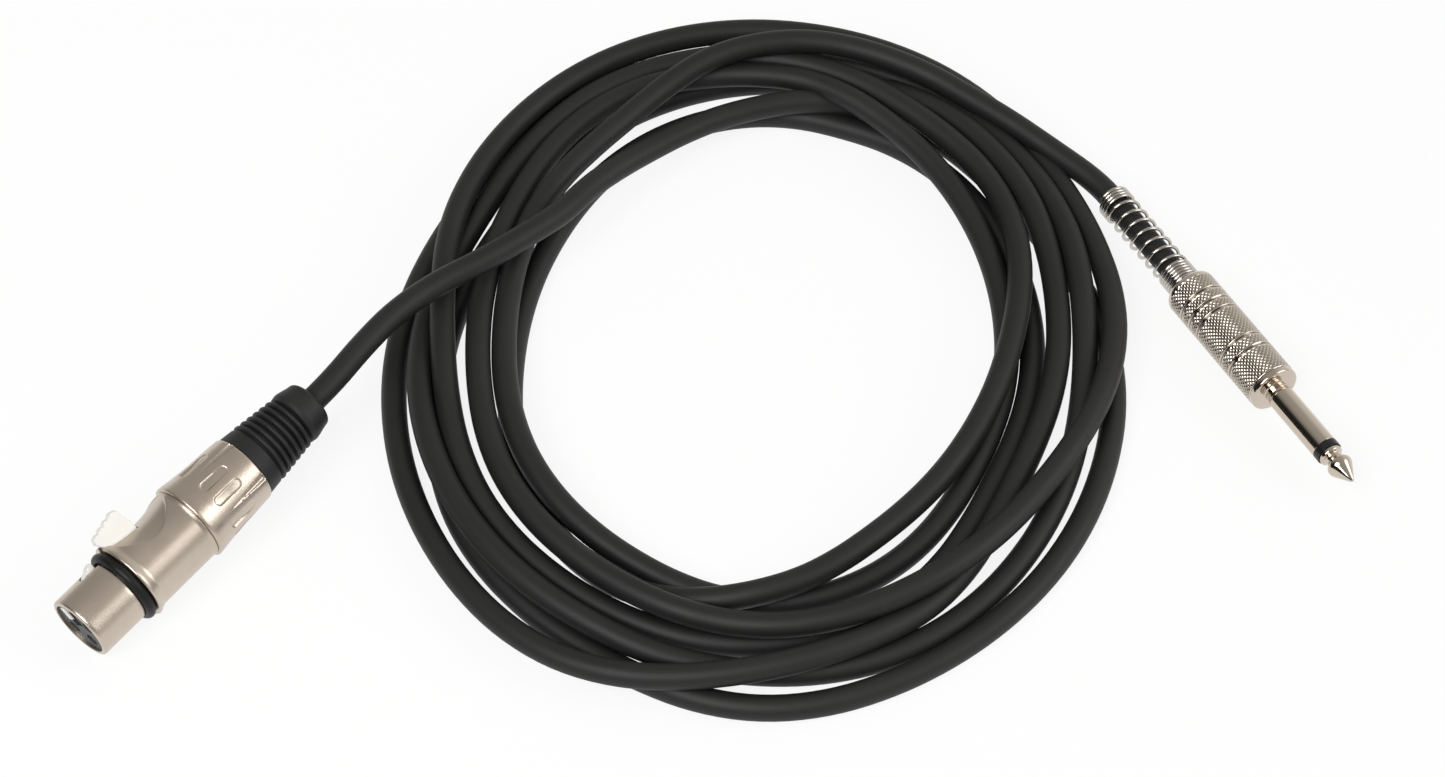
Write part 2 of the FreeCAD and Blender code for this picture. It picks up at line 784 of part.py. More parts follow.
def jack_tip_lug():
    """Solder lug riveted on the end of the rod."""
    disc = rod("tip_lug_disc", "lug_radius", WASHER_END, LUG_END)
    tab = block("tip_lug_tab", WASHER_END, LUG_END + " + lug_length", "arm_width",
                "core_spread - lug_thickness / 2", "core_spread + lug_thickness / 2")
    hole = rod("tip_lug_hole", "rod_radius + joint_gap", WASHER_END + " - 1", LUG_END + " + 1")
    return cut("jack_tip_lug", join("tip_lug_blank", disc, tab), hole)


def jack_sleeve_lug():
    """Long solder lug of the shaft, with claws crimped round the cable jacket."""
    claw_start = "(" + PLUG_JACKET + " + claw_gap)"
    claw_end = "(" + PLUG_JACKET + " + claw_gap + claw_length)"
    bite = "(cable_diameter / 2 - clamp_bite)"
    ring = rod("sleeve_lug_ring", "lug_ring_radius", BOSS_END, BOSS_END + " + lug_thickness")
    arm = block("sleeve_lug_arm", BOSS_END, claw_end, "arm_width", "-lug_ring_radius",
                "lug_thickness - lug_ring_radius")
    claws = rod("sleeve_lug_claws", bite + " + claw_wall", claw_start, claw_end)
    hole = rod("sleeve_lug_hole", "stub_radius + joint_gap", BOSS_END + " - 1",
               BOSS_END + " + lug_thickness + 1")
    grip = rod("sleeve_lug_grip", bite, claw_start + " - 1", claw_end + " + 1")
    split = block("sleeve_lug_split", claw_start + " - 1", claw_end + " + 1", "arm_width", "0",
                  "lug_ring_radius + 1")
    return cut("jack_sleeve_lug", join("sleeve_lug_blank", ring, arm, claws), hole, grip, split)


def jack_liner():
    """Plastic tube inside the shell, with a lip that the spring stands on."""
    inner = "(shell_bore - joint_gap - liner_wall)"
    return turned("jack_liner", [
        (BOSS_END, inner),
        (BOSS_END, "shell_bore - joint_gap"),
        (SHELL_STOP, "shell_bore - joint_gap"),
        (SHELL_STOP, SPRING_OUTER + " + joint_gap"),
        (LIP_REAR, SPRING_OUTER + " + joint_gap"),
        (LIP_REAR, "cable_diameter / 2 + moving_gap"),
        (LIP_REAR + " - liner_lip", "cable_diameter / 2 + moving_gap"),
        (LIP_REAR + " - liner_lip", inner),
    ])


def jack_shell():
    """Barrel of the plug with its grooves and rounded rear shoulder."""
    outline = [
        (PLATE_END, "shell_bore"),
        (PLATE_END, "shell_radius - edge"),
        (PLATE_END + " + edge", "shell_radius"),
    ]
    for station in GROOVE_STATIONS:
        start = PLATE_END + " + " + station
        outline += [
            (start, "shell_radius"),
            (start + " + groove_width * 0.2", "shell_radius - groove_depth"),
            (start + " + groove_width * 0.8", "shell_radius - groove_depth"),
            (start + " + groove_width", "shell_radius"),
        ]
    outline += [
        (SHELL_END + " - shell_shoulder", "shell_radius"),
        (SHELL_END + " - shell_shoulder * 0.62", "shell_radius - shell_shoulder * 0.08"),
        (SHELL_END + " - shell_shoulder * 0.29", "shell_radius - shell_shoulder * 0.29"),
        (SHELL_END + " - shell_shoulder * 0.08", "shell_radius - shell_shoulder * 0.62"),
        (SHELL_END, "shell_radius - shell_shoulder"),
        (SHELL_END, SPRING_OUTER + " + joint_gap"),
        (SHELL_STOP, SPRING_OUTER + " + joint_gap"),
        (SHELL_STOP, "shell_bore"),
    ]
    return turned("jack_shell", outline)


def jack_spring():
    """Strain relief spring: close coils in the shell, open coils behind, close coils last."""
    wire = size("spring_wire")
    radius = size("spring_radius")
    front = size("spring_front_turns")
    opened = front + size("spring_open_turns")
    whole = opened + size("spring_rear_turns")
    close = size("spring_closed_pitch")
    wide = size("spring_open_pitch")
    start = value_of(LIP_REAR) + wire * 0.6

    def place(turn):
        angle = 2 * math.pi * turn
        station = start + close * turn + (wide - close) * (min(max(turn, front), opened) - front)
        return Vector(station, radius * math.sin(angle), radius * math.cos(angle))

    stops = [index / 4 for index in range(int(round(whole * 4)) + 1)]
    edges = wound_path(place, stops, wire)
    least_gap("jack_spring to itself", edges, edges, wire, 0.2, 2 * radius)
    return tube("jack_spring", edges, wire)


def cable_end_jack():
    """Jacketed cable inside the plug's claws, liner and spring."""
    return round_bar("cable_end_jack", "cable_diameter / 2", PLUG_JACKET, CABLE_OUT)


def jack_core_hot():
    """Core from the tip's lug to the cut face of the jacket."""
    core = round_bar("core_hot_jack", "core_diameter / 2", LUG_END + " + lug_length",
                     PLUG_JACKET)
    core.Placement = Placement(Vector(0, 0, size("core_spread")), Rotation())
    return core


def jack_core_return():
    """Core laid on the long lug's arm and led to the cut face of the jacket."""
    start = Vector(value_of(WASHER_END) + 2, 0,
                   value_of("lug_thickness - lug_ring_radius + core_diameter / 2"))
    end = Vector(value_of(PLUG_JACKET), 0, -size("core_spread"))
    return tube("core_return_jack", core_path("core_return_jack", start, end, 0.35, 0.3),
                size("core_diameter"))


# Where the two connectors lie: each rests on two of its own rims

def lying(face_x, face_y, heading, tilt, roll, height):
    """The placement of a connector whose cable end points along heading and tilt."""
    turn = Rotation(Vector(0, 0, 1), heading) * Rotation(Vector(0, 1, 0), -tilt)
    return Placement(Vector(face_x, face_y, height), turn * Rotation(Vector(1, 0, 0), roll))


def xlr_place():
    """Down on the front edge of the nose and on the lip, so that the nose points down."""
    reach = value_of(SEAT_END)
    rise = size("lip_radius") - size("nose_radius")
    tilt = math.atan(rise / reach)
    height = size("nose_radius") * math.cos(tilt) - size("edge") * math.sin(tilt)
    return lying(size("xlr_face_x"), size("xlr_face_y"), size("xlr_heading"),
                 math.degrees(tilt), -size("xlr_roll"), height)


def jack_place():
    """Down on the rear edge of the shell, with the tip a little up."""
    tilt = math.radians(size("jack_tilt"))
    rear = value_of(SHELL_END + " - shell_shoulder")
    height = size("shell_radius") * math.cos(tilt) + rear * math.sin(tilt)
    return lying(size("jack_face_x"), size("jack_face_y"), size("jack_heading"),
                 -size("jack_tilt"), 0, height)


# The cable: a piled coil of two layers and the two tails that lead to the connectors

def coil_place(angle):
    """Centre of the strand at an angle run clockwise from the left, both layers.

    The strand comes down on the pile in its first quarters and lifts off it in its last.
    """
    reverse = size("coil_reverse")
    step = size("cable_diameter") + size("strand_gap")
    turns_out = (reverse - size("coil_start") - abs(angle - reverse)) / 360
    across = size("coil_inner") + step * turns_out
    low = size("cable_diameter") / 2
    drop = size("cable_diameter") + size("layer_gap")
    share = min(max((angle - reverse) / 90, -1), 1)
    height = low + drop * (1 - math.sin(share * math.pi / 2)) / 2
    coming = max(0, (270 - angle) / (270 - size("coil_start")))
    going = max(0, (angle - size("coil_end") + 90) / 90)
    height += size("entry_rise") * coming ** 2 + size("exit_rise") * going ** 2
    turn = math.radians(angle)
    along = across + size("coil_stretch")
    return Vector(size("coil_center_x") - across * math.cos(turn),
                  size("coil_center_y") + along * math.sin(turn), height)


def coil_path():
    """Upper layer outwards, a drop where the spiral reverses, lower layer inwards."""
    first = size("coil_start")
    quarter = int(first // 90) + 1
    stops = [first] + [90.0 * index for index in range(quarter, int(size("coil_end") // 90) + 1)]
    return wound_path(coil_place, stops, size("cable_diameter"))


# Points of the two tails between the connectors and the coil, chosen by hand
XLR_TAIL = [(-79.4, 10.2, 20.4), (-70.2, 22.0, 21.4), (-57.0, 30.8, 21.9), (-43.4, 40.6, 20.8),
            (-31.8, 55.2, 17.9), (-21.8, 69.6, 15.6), (-13.6, 81.0, 14.6), (-7.0, 88.2, 14.6),
            (0.7, 93.2, 14.9), (9.1, 96.3, 15.3), (18.1, 97.1, 15.6), (27.2, 95.5, 15.7)]
JACK_TAIL = [(-44.2, 42.8, 8.8), (-40.2, 54.4, 13.0), (-34.8, 66.0, 16.7), (-27.4, 77.0, 17.7),
             (-18.0, 87.6, 17.8), (-7.4, 98.8, 17.8), (4.2, 105.9, 17.7), (18.2, 108.4, 17.6),
             (32.8, 107.2, 17.4), (47.2, 103.2, 17.1), (60.6, 97.6, 16.2), (72.8, 90.4, 12.0),
             (84.1, 82.6, 6.8)]


def lead_in(end, inside, length):
    """The point that continues the straight from inside through end."""
    return end + (end - inside).normalize() * length


def set_down(parts, placement):
    """Lay finished pieces, built along X, where their connector lies."""
    for part in parts:
        part.Placement = placement.multiply(part.Placement)
    return parts


def main():
    xlr = xlr_place()
    jack = jack_place()
    across = Placement(Vector(value_of("nose_length + seat_width / 2"), 0, 0),
                       Rotation(Vector(0, 1, 0), 90))
    ring = xlr_o_ring()
    ring.Placement = across
    parts = set_down([xlr_housing(), ring, xlr_insert(), xlr_contact("1"), xlr_contact("2"),
                      xlr_contact("3"), xlr_latch(), xlr_latch_pin(), xlr_latch_spring(),
                      xlr_rear_sleeve(), xlr_clamp(), xlr_boot(),
                      xlr_core("core_hot_xlr", "2", -1), xlr_core("core_return_xlr", "1", 1),
                      cable_end_xlr()], xlr)
    parts += set_down([jack_tip(), jack_insulator(), jack_sleeve(), jack_rear_washer(),
                       jack_tip_lug(), jack_sleeve_lug(), jack_liner(), jack_shell(),
                       jack_spring(), cable_end_jack(), jack_core_hot(),
                       jack_core_return()], jack)

    diameter = size("cable_diameter")
    coil = coil_path()
    apart = math.pi * size("coil_inner")
    least_gap("cable_coil to itself", coil, coil, diameter, 2.0, apart)
    parts.append(tube("cable_coil", coil, diameter))

    boot_end = xlr.multVec(Vector(value_of(BOOT_END), 0, 0))
    boot_inside = xlr.multVec(Vector(0, 0, 0))
    coil_start = coil[0].Vertexes[0].Point
    coil_end = coil[-1].Vertexes[-1].Point
    points = [boot_end, lead_in(boot_end, boot_inside, size("boot_lead"))]
    points += [Vector(*point) for point in XLR_TAIL]
    points += [lead_in(coil_start, coil[0].Vertexes[-1].Point, size("entry_lead")), coil_start]
    xlr_tail = laid_path("cable_tail_xlr", points)
    parts.append(tube("cable_tail_xlr", xlr_tail, diameter))

    spring_end = jack.multVec(Vector(value_of(CABLE_OUT), 0, 0))
    spring_inside = jack.multVec(Vector(0, 0, 0))
    points = [coil_end, lead_in(coil_end, coil[-1].Vertexes[0].Point, size("exit_lead"))]
    points += [Vector(*point) for point in JACK_TAIL]
    points += [lead_in(spring_end, spring_inside, size("plug_lead")), spring_end]
    jack_tail = laid_path("cable_tail_jack", points)
    parts.append(tube("cable_tail_jack", jack_tail, diameter))

    cable = xlr_tail + coil + jack_tail
    least_gap("whole cable to itself", cable, cable, diameter, 1.0, 60)
    print("free cable %.0f mm" % sum(edge.Length for edge in cable))

    doc.recompute()
    for item in doc.Objects:
        if "Invalid" in item.State or "Error" in item.State:
            raise RuntimeError("%s failed: %s" % (item.Label, item.State))
    os.makedirs("parts", exist_ok=True)
    for part in parts:
        shape = part.Shape
        if shape.isNull() or not shape.isValid():
            raise RuntimeError(part.Label + " has no valid shape")
        if len(shape.Solids) != 1:
            raise RuntimeError("%s has %d solids" % (part.Label, len(shape.Solids)))
    low = min(part.Shape.optimalBoundingBox(False, False).ZMin for part in parts)
    print("%d pieces, lowest point %.3f mm" % (len(parts), low))
    plain = [part for part in parts if not part.Label.startswith(("cable_tail", "cable_coil"))]
    boxes = [part.Shape.optimalBoundingBox(False, False) for part in plain]
    print("box of the connectors: x %.3f %.3f y %.3f %.3f z %.3f %.3f" % (
        min(box.XMin for box in boxes), max(box.XMax for box in boxes),
        min(box.YMin for box in boxes), max(box.YMax for box in boxes),
        min(box.ZMin for box in boxes), max(box.ZMax for box in boxes)))
    for part in parts:
        part.Shape.exportStep("parts/%s.step" % part.Label)


main()
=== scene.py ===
import math

import bmesh
import bpy
from mathutils import Matrix, Vector


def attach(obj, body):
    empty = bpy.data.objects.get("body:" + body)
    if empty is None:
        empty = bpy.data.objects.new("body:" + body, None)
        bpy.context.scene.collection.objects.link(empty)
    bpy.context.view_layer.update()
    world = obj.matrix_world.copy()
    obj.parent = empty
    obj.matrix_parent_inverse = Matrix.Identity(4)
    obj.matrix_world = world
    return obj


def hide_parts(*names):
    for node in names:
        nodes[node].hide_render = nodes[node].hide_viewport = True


# A coiled microphone cable on a white floor: a female three-pin connector on one end,
# a 6.35 mm plug with a spring strain relief on the other. Metres, in the CAD's frame.

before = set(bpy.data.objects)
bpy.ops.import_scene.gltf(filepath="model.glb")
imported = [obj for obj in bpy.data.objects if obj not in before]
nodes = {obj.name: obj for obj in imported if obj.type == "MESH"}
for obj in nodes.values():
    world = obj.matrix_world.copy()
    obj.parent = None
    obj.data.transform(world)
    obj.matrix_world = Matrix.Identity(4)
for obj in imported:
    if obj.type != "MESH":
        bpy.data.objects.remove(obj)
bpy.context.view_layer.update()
MM = 0.001


# Camera, as the photograph was framed

CAMERA_PLACE = (0.001765, -0.55464, 0.7008)
CAMERA_TARGET = (0.001765, 0.011758, 0.0)
LENS = 95.82
SENSOR_WIDTH = 36.0


def aim(thing, target):
    """Turn a camera or lamp so that it looks at the target."""
    direction = Vector(target) - thing.location
    thing.rotation_mode = "QUATERNION"
    thing.rotation_quaternion = direction.to_track_quat("-Z", "Y")


def make_camera():
    data = bpy.data.cameras.new("camera")
    data.sensor_width = SENSOR_WIDTH
    data.lens = LENS
    data.clip_start = 0.01
    data.clip_end = 20.0
    camera = bpy.data.objects.new("camera", data)
    bpy.context.scene.collection.objects.link(camera)
    camera.location = CAMERA_PLACE
    aim(camera, CAMERA_TARGET)
    bpy.context.scene.camera = camera


# Node graphs

class Graph:
    """A new material's nodes, with short calls for the ones used here."""

    def __init__(self, name):
        self.material = bpy.data.materials.new(name)
        self.material.use_nodes = True
        self.tree = self.material.node_tree
        self.shader = self.tree.nodes["Principled BSDF"]
        self.output = self.tree.nodes["Material Output"]
        self.place = self.add("ShaderNodeTexCoord").outputs["Object"]

    def add(self, kind, inputs=None, **settings):
        """A node with its settings; inputs are numbers, colours or other nodes' outputs."""
        node = self.tree.nodes.new(kind)
        for key, value in settings.items():
            setattr(node, key, value)
        for key, value in (inputs or {}).items():
            if isinstance(value, bpy.types.NodeSocket):
                self.tree.links.new(value, node.inputs[key])
            else:
                node.inputs[key].default_value = value
        return node

    def link(self, output, target):
        self.tree.links.new(output, target)

    def noise(self, scale, detail=3.0, roughness=0.5):
        """Noise from 0 to 1 in the object's own space."""
        inputs = {"Vector": self.place, "Scale": scale, "Detail": detail,
                  "Roughness": roughness}
        return self.add("ShaderNodeTexNoise", inputs).outputs["Fac"]

    def ramp(self, factor, stops):
        """Colours spread over a factor; stops are (position, colour)."""
        node = self.add("ShaderNodeValToRGB", {"Fac": factor})
        line = node.color_ramp.elements
        while len(line) < len(stops):
            line.new(0.5)
        for element, (position, colour) in zip(line, stops):
            element.position = position
            element.color = (*colour, 1.0)
        return node.outputs["Color"]

    def spread(self, factor, low, high):
        """A factor from 0 to 1 spread between two values."""
        inputs = {"Value": factor, "To Min": low, "To Max": high}
        return self.add("ShaderNodeMapRange", inputs).outputs["Result"]

    def maths(self, operation, first, second=0.0):
        """A sum, product or the like of two numbers or outputs."""
        node = self.add("ShaderNodeMath", operation=operation)
        for socket, value in zip(node.inputs, (first, second)):
            if isinstance(value, bpy.types.NodeSocket):
                self.link(value, socket)
            else:
                socket.default_value = value
        return node.outputs["Value"]

    def bump(self, height, strength, distance):
        """A normal bumped by a height from 0 to 1."""
        inputs = {"Height": height, "Strength": strength, "Distance": distance}
        return self.add("ShaderNodeBump", inputs).outputs["Normal"]

    def settle(self, colour=None, roughness=None, normal=None, **plain):
        """Link the surface's varying inputs and set its plain ones."""
        for key, value in (("Base Color", colour), ("Roughness", roughness), ("Normal", normal)):
            if value is None:
                continue
            if isinstance(value, bpy.types.NodeSocket):
                self.link(value, self.shader.inputs[key])
            else:
                self.shader.inputs[key].default_value = value
        for key, value in plain.items():
            self.shader.inputs[key.replace("_", " ")].default_value = value
        return self.material


# Sunk depths, in millimetres, over which metal goes over to its painted shade colour
PAINTED_SHADE_DEPTHS = (0.04, 0.3)


def metal(name, light, dark, rough, grain, grain_depth, cloud=60.0, metallic=1.0, painted_shade=None):
    """Metal with a fine grain, slow clouding of its colour and varying gloss.

    With a shade colour given, places sunk into the mesh go over to it: painted shade in hollows
    and grooves, where shadow falls.
    """
    graph = Graph(name)
    slow = graph.noise(cloud, 2.0)
    fine = graph.noise(grain, 2.0, 0.6)
    colour = graph.ramp(slow, [(0.3, dark), (0.7, light)])
    # Painted shade: the colour darkens with how far the mesh is sunk in
    if painted_shade:
        sunk = graph.add("ShaderNodeAttribute", attribute_name="sunk").outputs["Fac"]
        reach = {"Value": sunk, "From Min": PAINTED_SHADE_DEPTHS[0], "From Max": PAINTED_SHADE_DEPTHS[1]}
        share = graph.add("ShaderNodeMapRange", reach).outputs["Result"]
        blend = graph.add("ShaderNodeMix", data_type="RGBA")
        graph.link(share, blend.inputs["Factor"])
        graph.link(colour, blend.inputs["A"])
        blend.inputs["B"].default_value = (*painted_shade, 1.0)
        colour = blend.outputs["Result"]
    gloss = graph.spread(graph.noise(cloud * 5, 3.0), rough * 0.85, rough * 1.15)
    normal = graph.bump(fine, 0.5, grain_depth)
    return graph.settle(colour, gloss, normal, Metallic=metallic)


def plastic(name, light, dark, rough, grain, grain_depth, cloud=120.0, shine=0.35):
    """Moulded plastic or rubber with a fine texture."""
    graph = Graph(name)
    slow = graph.noise(cloud, 3.0)
    fine = graph.noise(grain, 3.0, 0.6)
    colour = graph.ramp(slow, [(0.3, dark), (0.7, light)])
    gloss = graph.spread(graph.noise(cloud * 3, 3.0), rough * 0.9, min(1.0, rough * 1.1))
    normal = graph.bump(fine, 0.4, grain_depth)
    return graph.settle(colour, gloss, normal, Specular_IOR_Level=shine)


def make_materials():
    return {
        "nickel_satin": metal("nickel_satin", (0.60, 0.52, 0.44), (0.55, 0.475, 0.40), 0.3,
                              3600.0, 0.00006),
        "seal_rubber": plastic("seal_rubber", (0.010, 0.010, 0.010), (0.006, 0.006, 0.006),
                               0.42, 900.0, 0.00001, 120.0, 0.2),
        "insert_plastic": plastic("insert_plastic", (0.062, 0.062, 0.062), (0.05, 0.05, 0.05),
                                  0.5, 2500.0, 0.00003),
        "contact_gold": metal("contact_gold", (0.95, 0.72, 0.33), (0.85, 0.62, 0.27), 0.22,
                              3000.0, 0.000004),
        "latch_metal": metal("latch_metal", (0.84, 0.83, 0.79), (0.78, 0.77, 0.73), 0.42,
                             3500.0, 0.00003, 60.0, 0.5),
        "steel": metal("steel", (0.56, 0.53, 0.49), (0.50, 0.47, 0.43), 0.18, 2500.0, 0.000002),
        "clamp_plastic": plastic("clamp_plastic", (0.05, 0.05, 0.05), (0.03, 0.03, 0.03), 0.5,
                                 2000.0, 0.00002),
        "boot_rubber": plastic("boot_rubber", (0.014, 0.014, 0.014), (0.009, 0.009, 0.009),
                               0.55, 1800.0, 0.00004),
        "core_red": plastic("core_red", (0.55, 0.03, 0.02), (0.45, 0.02, 0.015), 0.4, 1500.0,
                            0.00001),
        "core_white": plastic("core_white", (0.75, 0.75, 0.72), (0.65, 0.65, 0.62), 0.4, 1500.0,
                              0.00001),
        "cable_jacket": plastic("cable_jacket", (0.0135, 0.0135, 0.013),
                                (0.0095, 0.0095, 0.0092), 0.55, 1400.0, 0.00003, 35.0),
        "plug_nickel": metal("plug_nickel", (0.62, 0.54, 0.46), (0.57, 0.50, 0.42), 0.10,
                             1500.0, 0.0000004),
        "band_plastic": plastic("band_plastic", (0.012, 0.012, 0.012), (0.008, 0.008, 0.008),
                                0.3, 1500.0, 0.00001),
        "lug_brass": metal("lug_brass", (0.80, 0.62, 0.30), (0.70, 0.52, 0.24), 0.28, 2000.0,
                           0.000004),
        # The barrel's knurl hollows and grooves get painted shade, a darker colour by their
        # depth
        "shell_nickel": metal("shell_nickel", (0.66, 0.59, 0.51), (0.61, 0.54, 0.46), 0.16,
                              1500.0, 0.000001, painted_shade=(0.20, 0.17, 0.14)),
    }


# Turned pieces of the two connectors, in millimetres along each connector's own axis

def placement(place, heading, tilt, roll):
    """Where a connector lies: its face, and the turns that lay it down."""
    turn = Matrix.Rotation(math.radians(heading), 4, "Z")
    turn = turn @ Matrix.Rotation(math.radians(tilt), 4, "Y")
    turn = turn @ Matrix.Rotation(math.radians(roll), 4, "X")
    return Matrix.Translation(Vector(place) * MM) @ turn


XLR = placement((-140.035, -62.842, 7.879), 49.5, -7.496, -42.0)
PLUG = placement((129.965, 5.758, 6.806), 119.3, 1.0, 0.0)


def finish_piece(mesh, body, material, crease=None):
    """Shade a mesh, give it its finish and let it ride on its body.

    Edges that bend by more than the crease, in degrees, stay sharp.
    """
    for face in mesh.polygons:
        face.use_smooth = True
    if crease:
        mesh.set_sharp_from_angle(angle=math.radians(crease))
    mesh.materials.append(material)
    piece = bpy.data.objects.new(mesh.name, mesh)
    bpy.context.scene.collection.objects.link(piece)
    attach(piece, body)
    return piece


def lathe_mesh(name, place, outline, sides, sink=None):
    """A hollow turned form from a closed outline of (station, radius, worked) points.

    At worked points the wall is cut in by sink(station, angle).
    """
    corners = []
    depths = []
    for station, radius, worked in outline:
        for side in range(sides):
            angle = 2 * math.pi * side / sides
            depths.append(sink(station, angle) if sink and worked else 0.0)
            reach = radius - depths[-1]
            corners.append(place @ (Vector((station, reach * math.cos(angle),
                                            reach * math.sin(angle))) * MM))
    faces = []
    rings = len(outline)
    for ring in range(rings):
        following = (ring + 1) % rings
        for side in range(sides):
            neighbour = (side + 1) % sides
            faces.append((ring * sides + side, following * sides + side,
                          following * sides + neighbour, ring * sides + neighbour))
    mesh = bpy.data.meshes.new(name)
    mesh.from_pydata(corners, [], faces)
    mesh.update()
    mesh.attributes.new("sunk", "FLOAT", "POINT").data.foreach_set("value", depths)
    return mesh


def between(start, end, step):
    """Evenly spaced stations from start to end, both included."""
    count = max(1, int(round(abs(end - start) / step)))
    return [start + (end - start) * index / count for index in range(count + 1)]


def along_line(points, at):
    """Height of a line through (station, height) points at a station."""
    for (start, low), (end, high) in zip(points, points[1:]):
        if at <= end:
            return low + (high - low) * (at - start) / (end - start)
    return points[-1][1]


def soft_step(low, high, value):
    """0 below low, 1 above high and a smooth rise between."""
    share = min(max((value - low) / (high - low), 0.0), 1.0)
    return share * share * (3 - 2 * share)


# Knurled barrel of the plug

SHELL_FRONT = 1.6
SHELL_REAR = 36.4
SHELL_RADIUS = 6.2
SHELL_BORE = 5.05
SHELL_EXIT = 4.4
SHELL_ROUND = 1.6
SHELL_FACE = 4.56
SHELL_LIP = 33.2
SHELL_GROOVES = (9.75, 13.4, 23.25, 26.45, 29.85)
GROOVE_DEPTH = 0.5
GROOVE_HALF = (0.2, 0.31)
KNURLS = 34
SHELL_SIDES = KNURLS * 10
KNURL_PITCH = 1.15
KNURL_DEPTH = 0.22
KNURL_FLAT = 0.62
PLAIN_EDGE = (0.5, 0.75)
END_EDGE = 0.3
ROUND_STEPS = 8


def knurl(station, angle):
    """Depth of the barrel's diamond knurl and of the grooves between its bands."""
    nearest = min(abs(station - groove) for groove in SHELL_GROOVES)
    ends = min(station - SHELL_FRONT, SHELL_REAR - SHELL_ROUND - station)
    channel = GROOVE_DEPTH * (1 - soft_step(*GROOVE_HALF, nearest))
    across = KNURLS * angle / (2 * math.pi)
    along = station / KNURL_PITCH
    first = abs(2 * ((across + along) % 1.0) - 1)
    second = abs(2 * ((across - along) % 1.0) - 1)
    diamond = KNURL_DEPTH * (1 - min(first, second, KNURL_FLAT) / KNURL_FLAT)
    return max(channel, diamond * soft_step(*PLAIN_EDGE, min(nearest, ends + END_EDGE)))


def rounded_end(station, reach, inner, outer):
    """Outline of an edge rounded over to a rear face."""
    outline = []
    for step in range(1, ROUND_STEPS + 1):
        turn = math.pi / 2 * step / ROUND_STEPS
        outline.append((station + reach * math.sin(turn),
                        inner + (outer - inner) * math.cos(turn), False))
    return outline


def make_shell(materials):
    rear = SHELL_REAR - SHELL_ROUND
    outline = [(SHELL_FRONT, SHELL_BORE, False), (SHELL_FRONT, 5.8, False)]
    outline += [(station, SHELL_RADIUS, True)
                for station in between(SHELL_FRONT + 0.2, rear, 0.12)]
    outline += rounded_end(rear, SHELL_ROUND, SHELL_FACE, SHELL_RADIUS)
    outline += [(SHELL_REAR, SHELL_EXIT, False), (SHELL_LIP, SHELL_EXIT, False),
                (SHELL_LIP, SHELL_BORE, False)]
    mesh = lathe_mesh("shell_knurled", PLUG, outline, SHELL_SIDES, knurl)
    piece = finish_piece(mesh, "cable", materials["shell_nickel"])
    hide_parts("jack_shell")
    return piece


# Rear sleeve of the connector, with pressed dimples and tapered flutes

SLEEVE_FRONT = 34.42
SLEEVE_REAR = 52.6
SLEEVE_MEAN_RADIUS = 9.1
SLEEVE_SIDES = 300
FLUTES = [math.radians(121 + 72 * index) for index in range(5)]
FLUTE_POINT = 40.8
FLUTE_LENGTH = 11.6
FLUTE_HALF_WIDTH = 1.2
DIMPLES = [flute + math.radians(turn) for flute in FLUTES for turn in (22, 50)]
DIMPLE_START = 40.7
DIMPLE_END = 46.2
DIMPLE_DEPTH = 0.45
DIMPLE_HALF_WIDTH = (0.95, 1.3)


def beside(angle, centre):
    """Distance round the sleeve's wall between two angles, in millimetres."""
    return abs((angle - centre + math.pi) % (2 * math.pi) - math.pi) * SLEEVE_MEAN_RADIUS


def dimple(station, angle):
    """Depth of the sleeve's pointed flutes and, between them, its pairs of dimples."""
    depth = 0.0
    width = FLUTE_HALF_WIDTH * (station - FLUTE_POINT) / FLUTE_LENGTH
    aside = min(beside(angle, flute) for flute in FLUTES)
    if width > 0 and aside < width:
        depth = 0.5 * width * (1 - soft_step(0.35 * width, width, aside))
    aside = min(beside(angle, centre) for centre in DIMPLES)
    past = max(DIMPLE_START - station, station - DIMPLE_END, 0.0)
    fade = 1 - 0.7 * soft_step(41.0, 47.0, station)
    hollow = 1 - soft_step(*DIMPLE_HALF_WIDTH, math.hypot(past, aside))
    return max(depth, DIMPLE_DEPTH * fade * hollow)


def make_sleeve(materials):
    wall = [(35.3, 10.0), (36.2, 9.9), (38.0, 9.65), (40.5, 9.42), (43.5, 9.2), (47.0, 9.02),
            (50.0, 8.85), (52.2, 8.7)]
    outline = [(SLEEVE_FRONT, 7.0, False), (SLEEVE_FRONT, 9.7, False), (34.5, 9.9, False),
               (34.65, 9.99, False), (34.9, 10.02, False)]
    outline += [(station, along_line(wall, station), True)
                for station in between(35.3, 52.2, 0.13)]
    outline += [(52.5, 8.5, False), (SLEEVE_REAR, 8.2, False), (SLEEVE_REAR, 7.6, False),
                (39.0, 7.6, False), (39.0, 7.0, False)]
    mesh = lathe_mesh("rear_sleeve", XLR, outline, SLEEVE_SIDES, dimple)
    piece = finish_piece(mesh, "cable", materials["nickel_satin"], crease=40)
    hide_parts("xlr_rear_sleeve")


# Housing of the connector, with its bell-shaped lip, oval dish and slot for the latch

NOSE_RADIUS = 8.0
NOSE_BORE = 6.9
SEAT_START = 12.5
SEAT_END = 15.2
SEAT_RADIUS = 6.85
LIP_RADIUS = 10.0
BODY_RADIUS = 9.2
BODY_BORE = 6.0
HOUSING_REAR = 34.38
SLOT_HALF = 1.3
LEVER_ROOM = 2.5
DISH_CENTRE = 25.3
DISH_HALF_LENGTH = 8.3
DISH_HALF_WIDTH = 7.5
DISH_RIM = 0.22
DISH_DEPTH = 1.15
HOUSING_CREASE = 38
HOUSING_SIDES = 288


def dish(station, angle):
    """Depth of the oval dish round the latch, which lies on the side of +Z."""
    if math.sin(angle) <= 0:
        return 0.0
    along = (station - DISH_CENTRE) / DISH_HALF_LENGTH
    across = BODY_RADIUS * math.cos(angle) / DISH_HALF_WIDTH
    inside = 1 - along ** 2 - across ** 2
    return DISH_RIM * soft_step(0.0, 0.06, inside) + DISH_DEPTH * max(inside, 0.0)


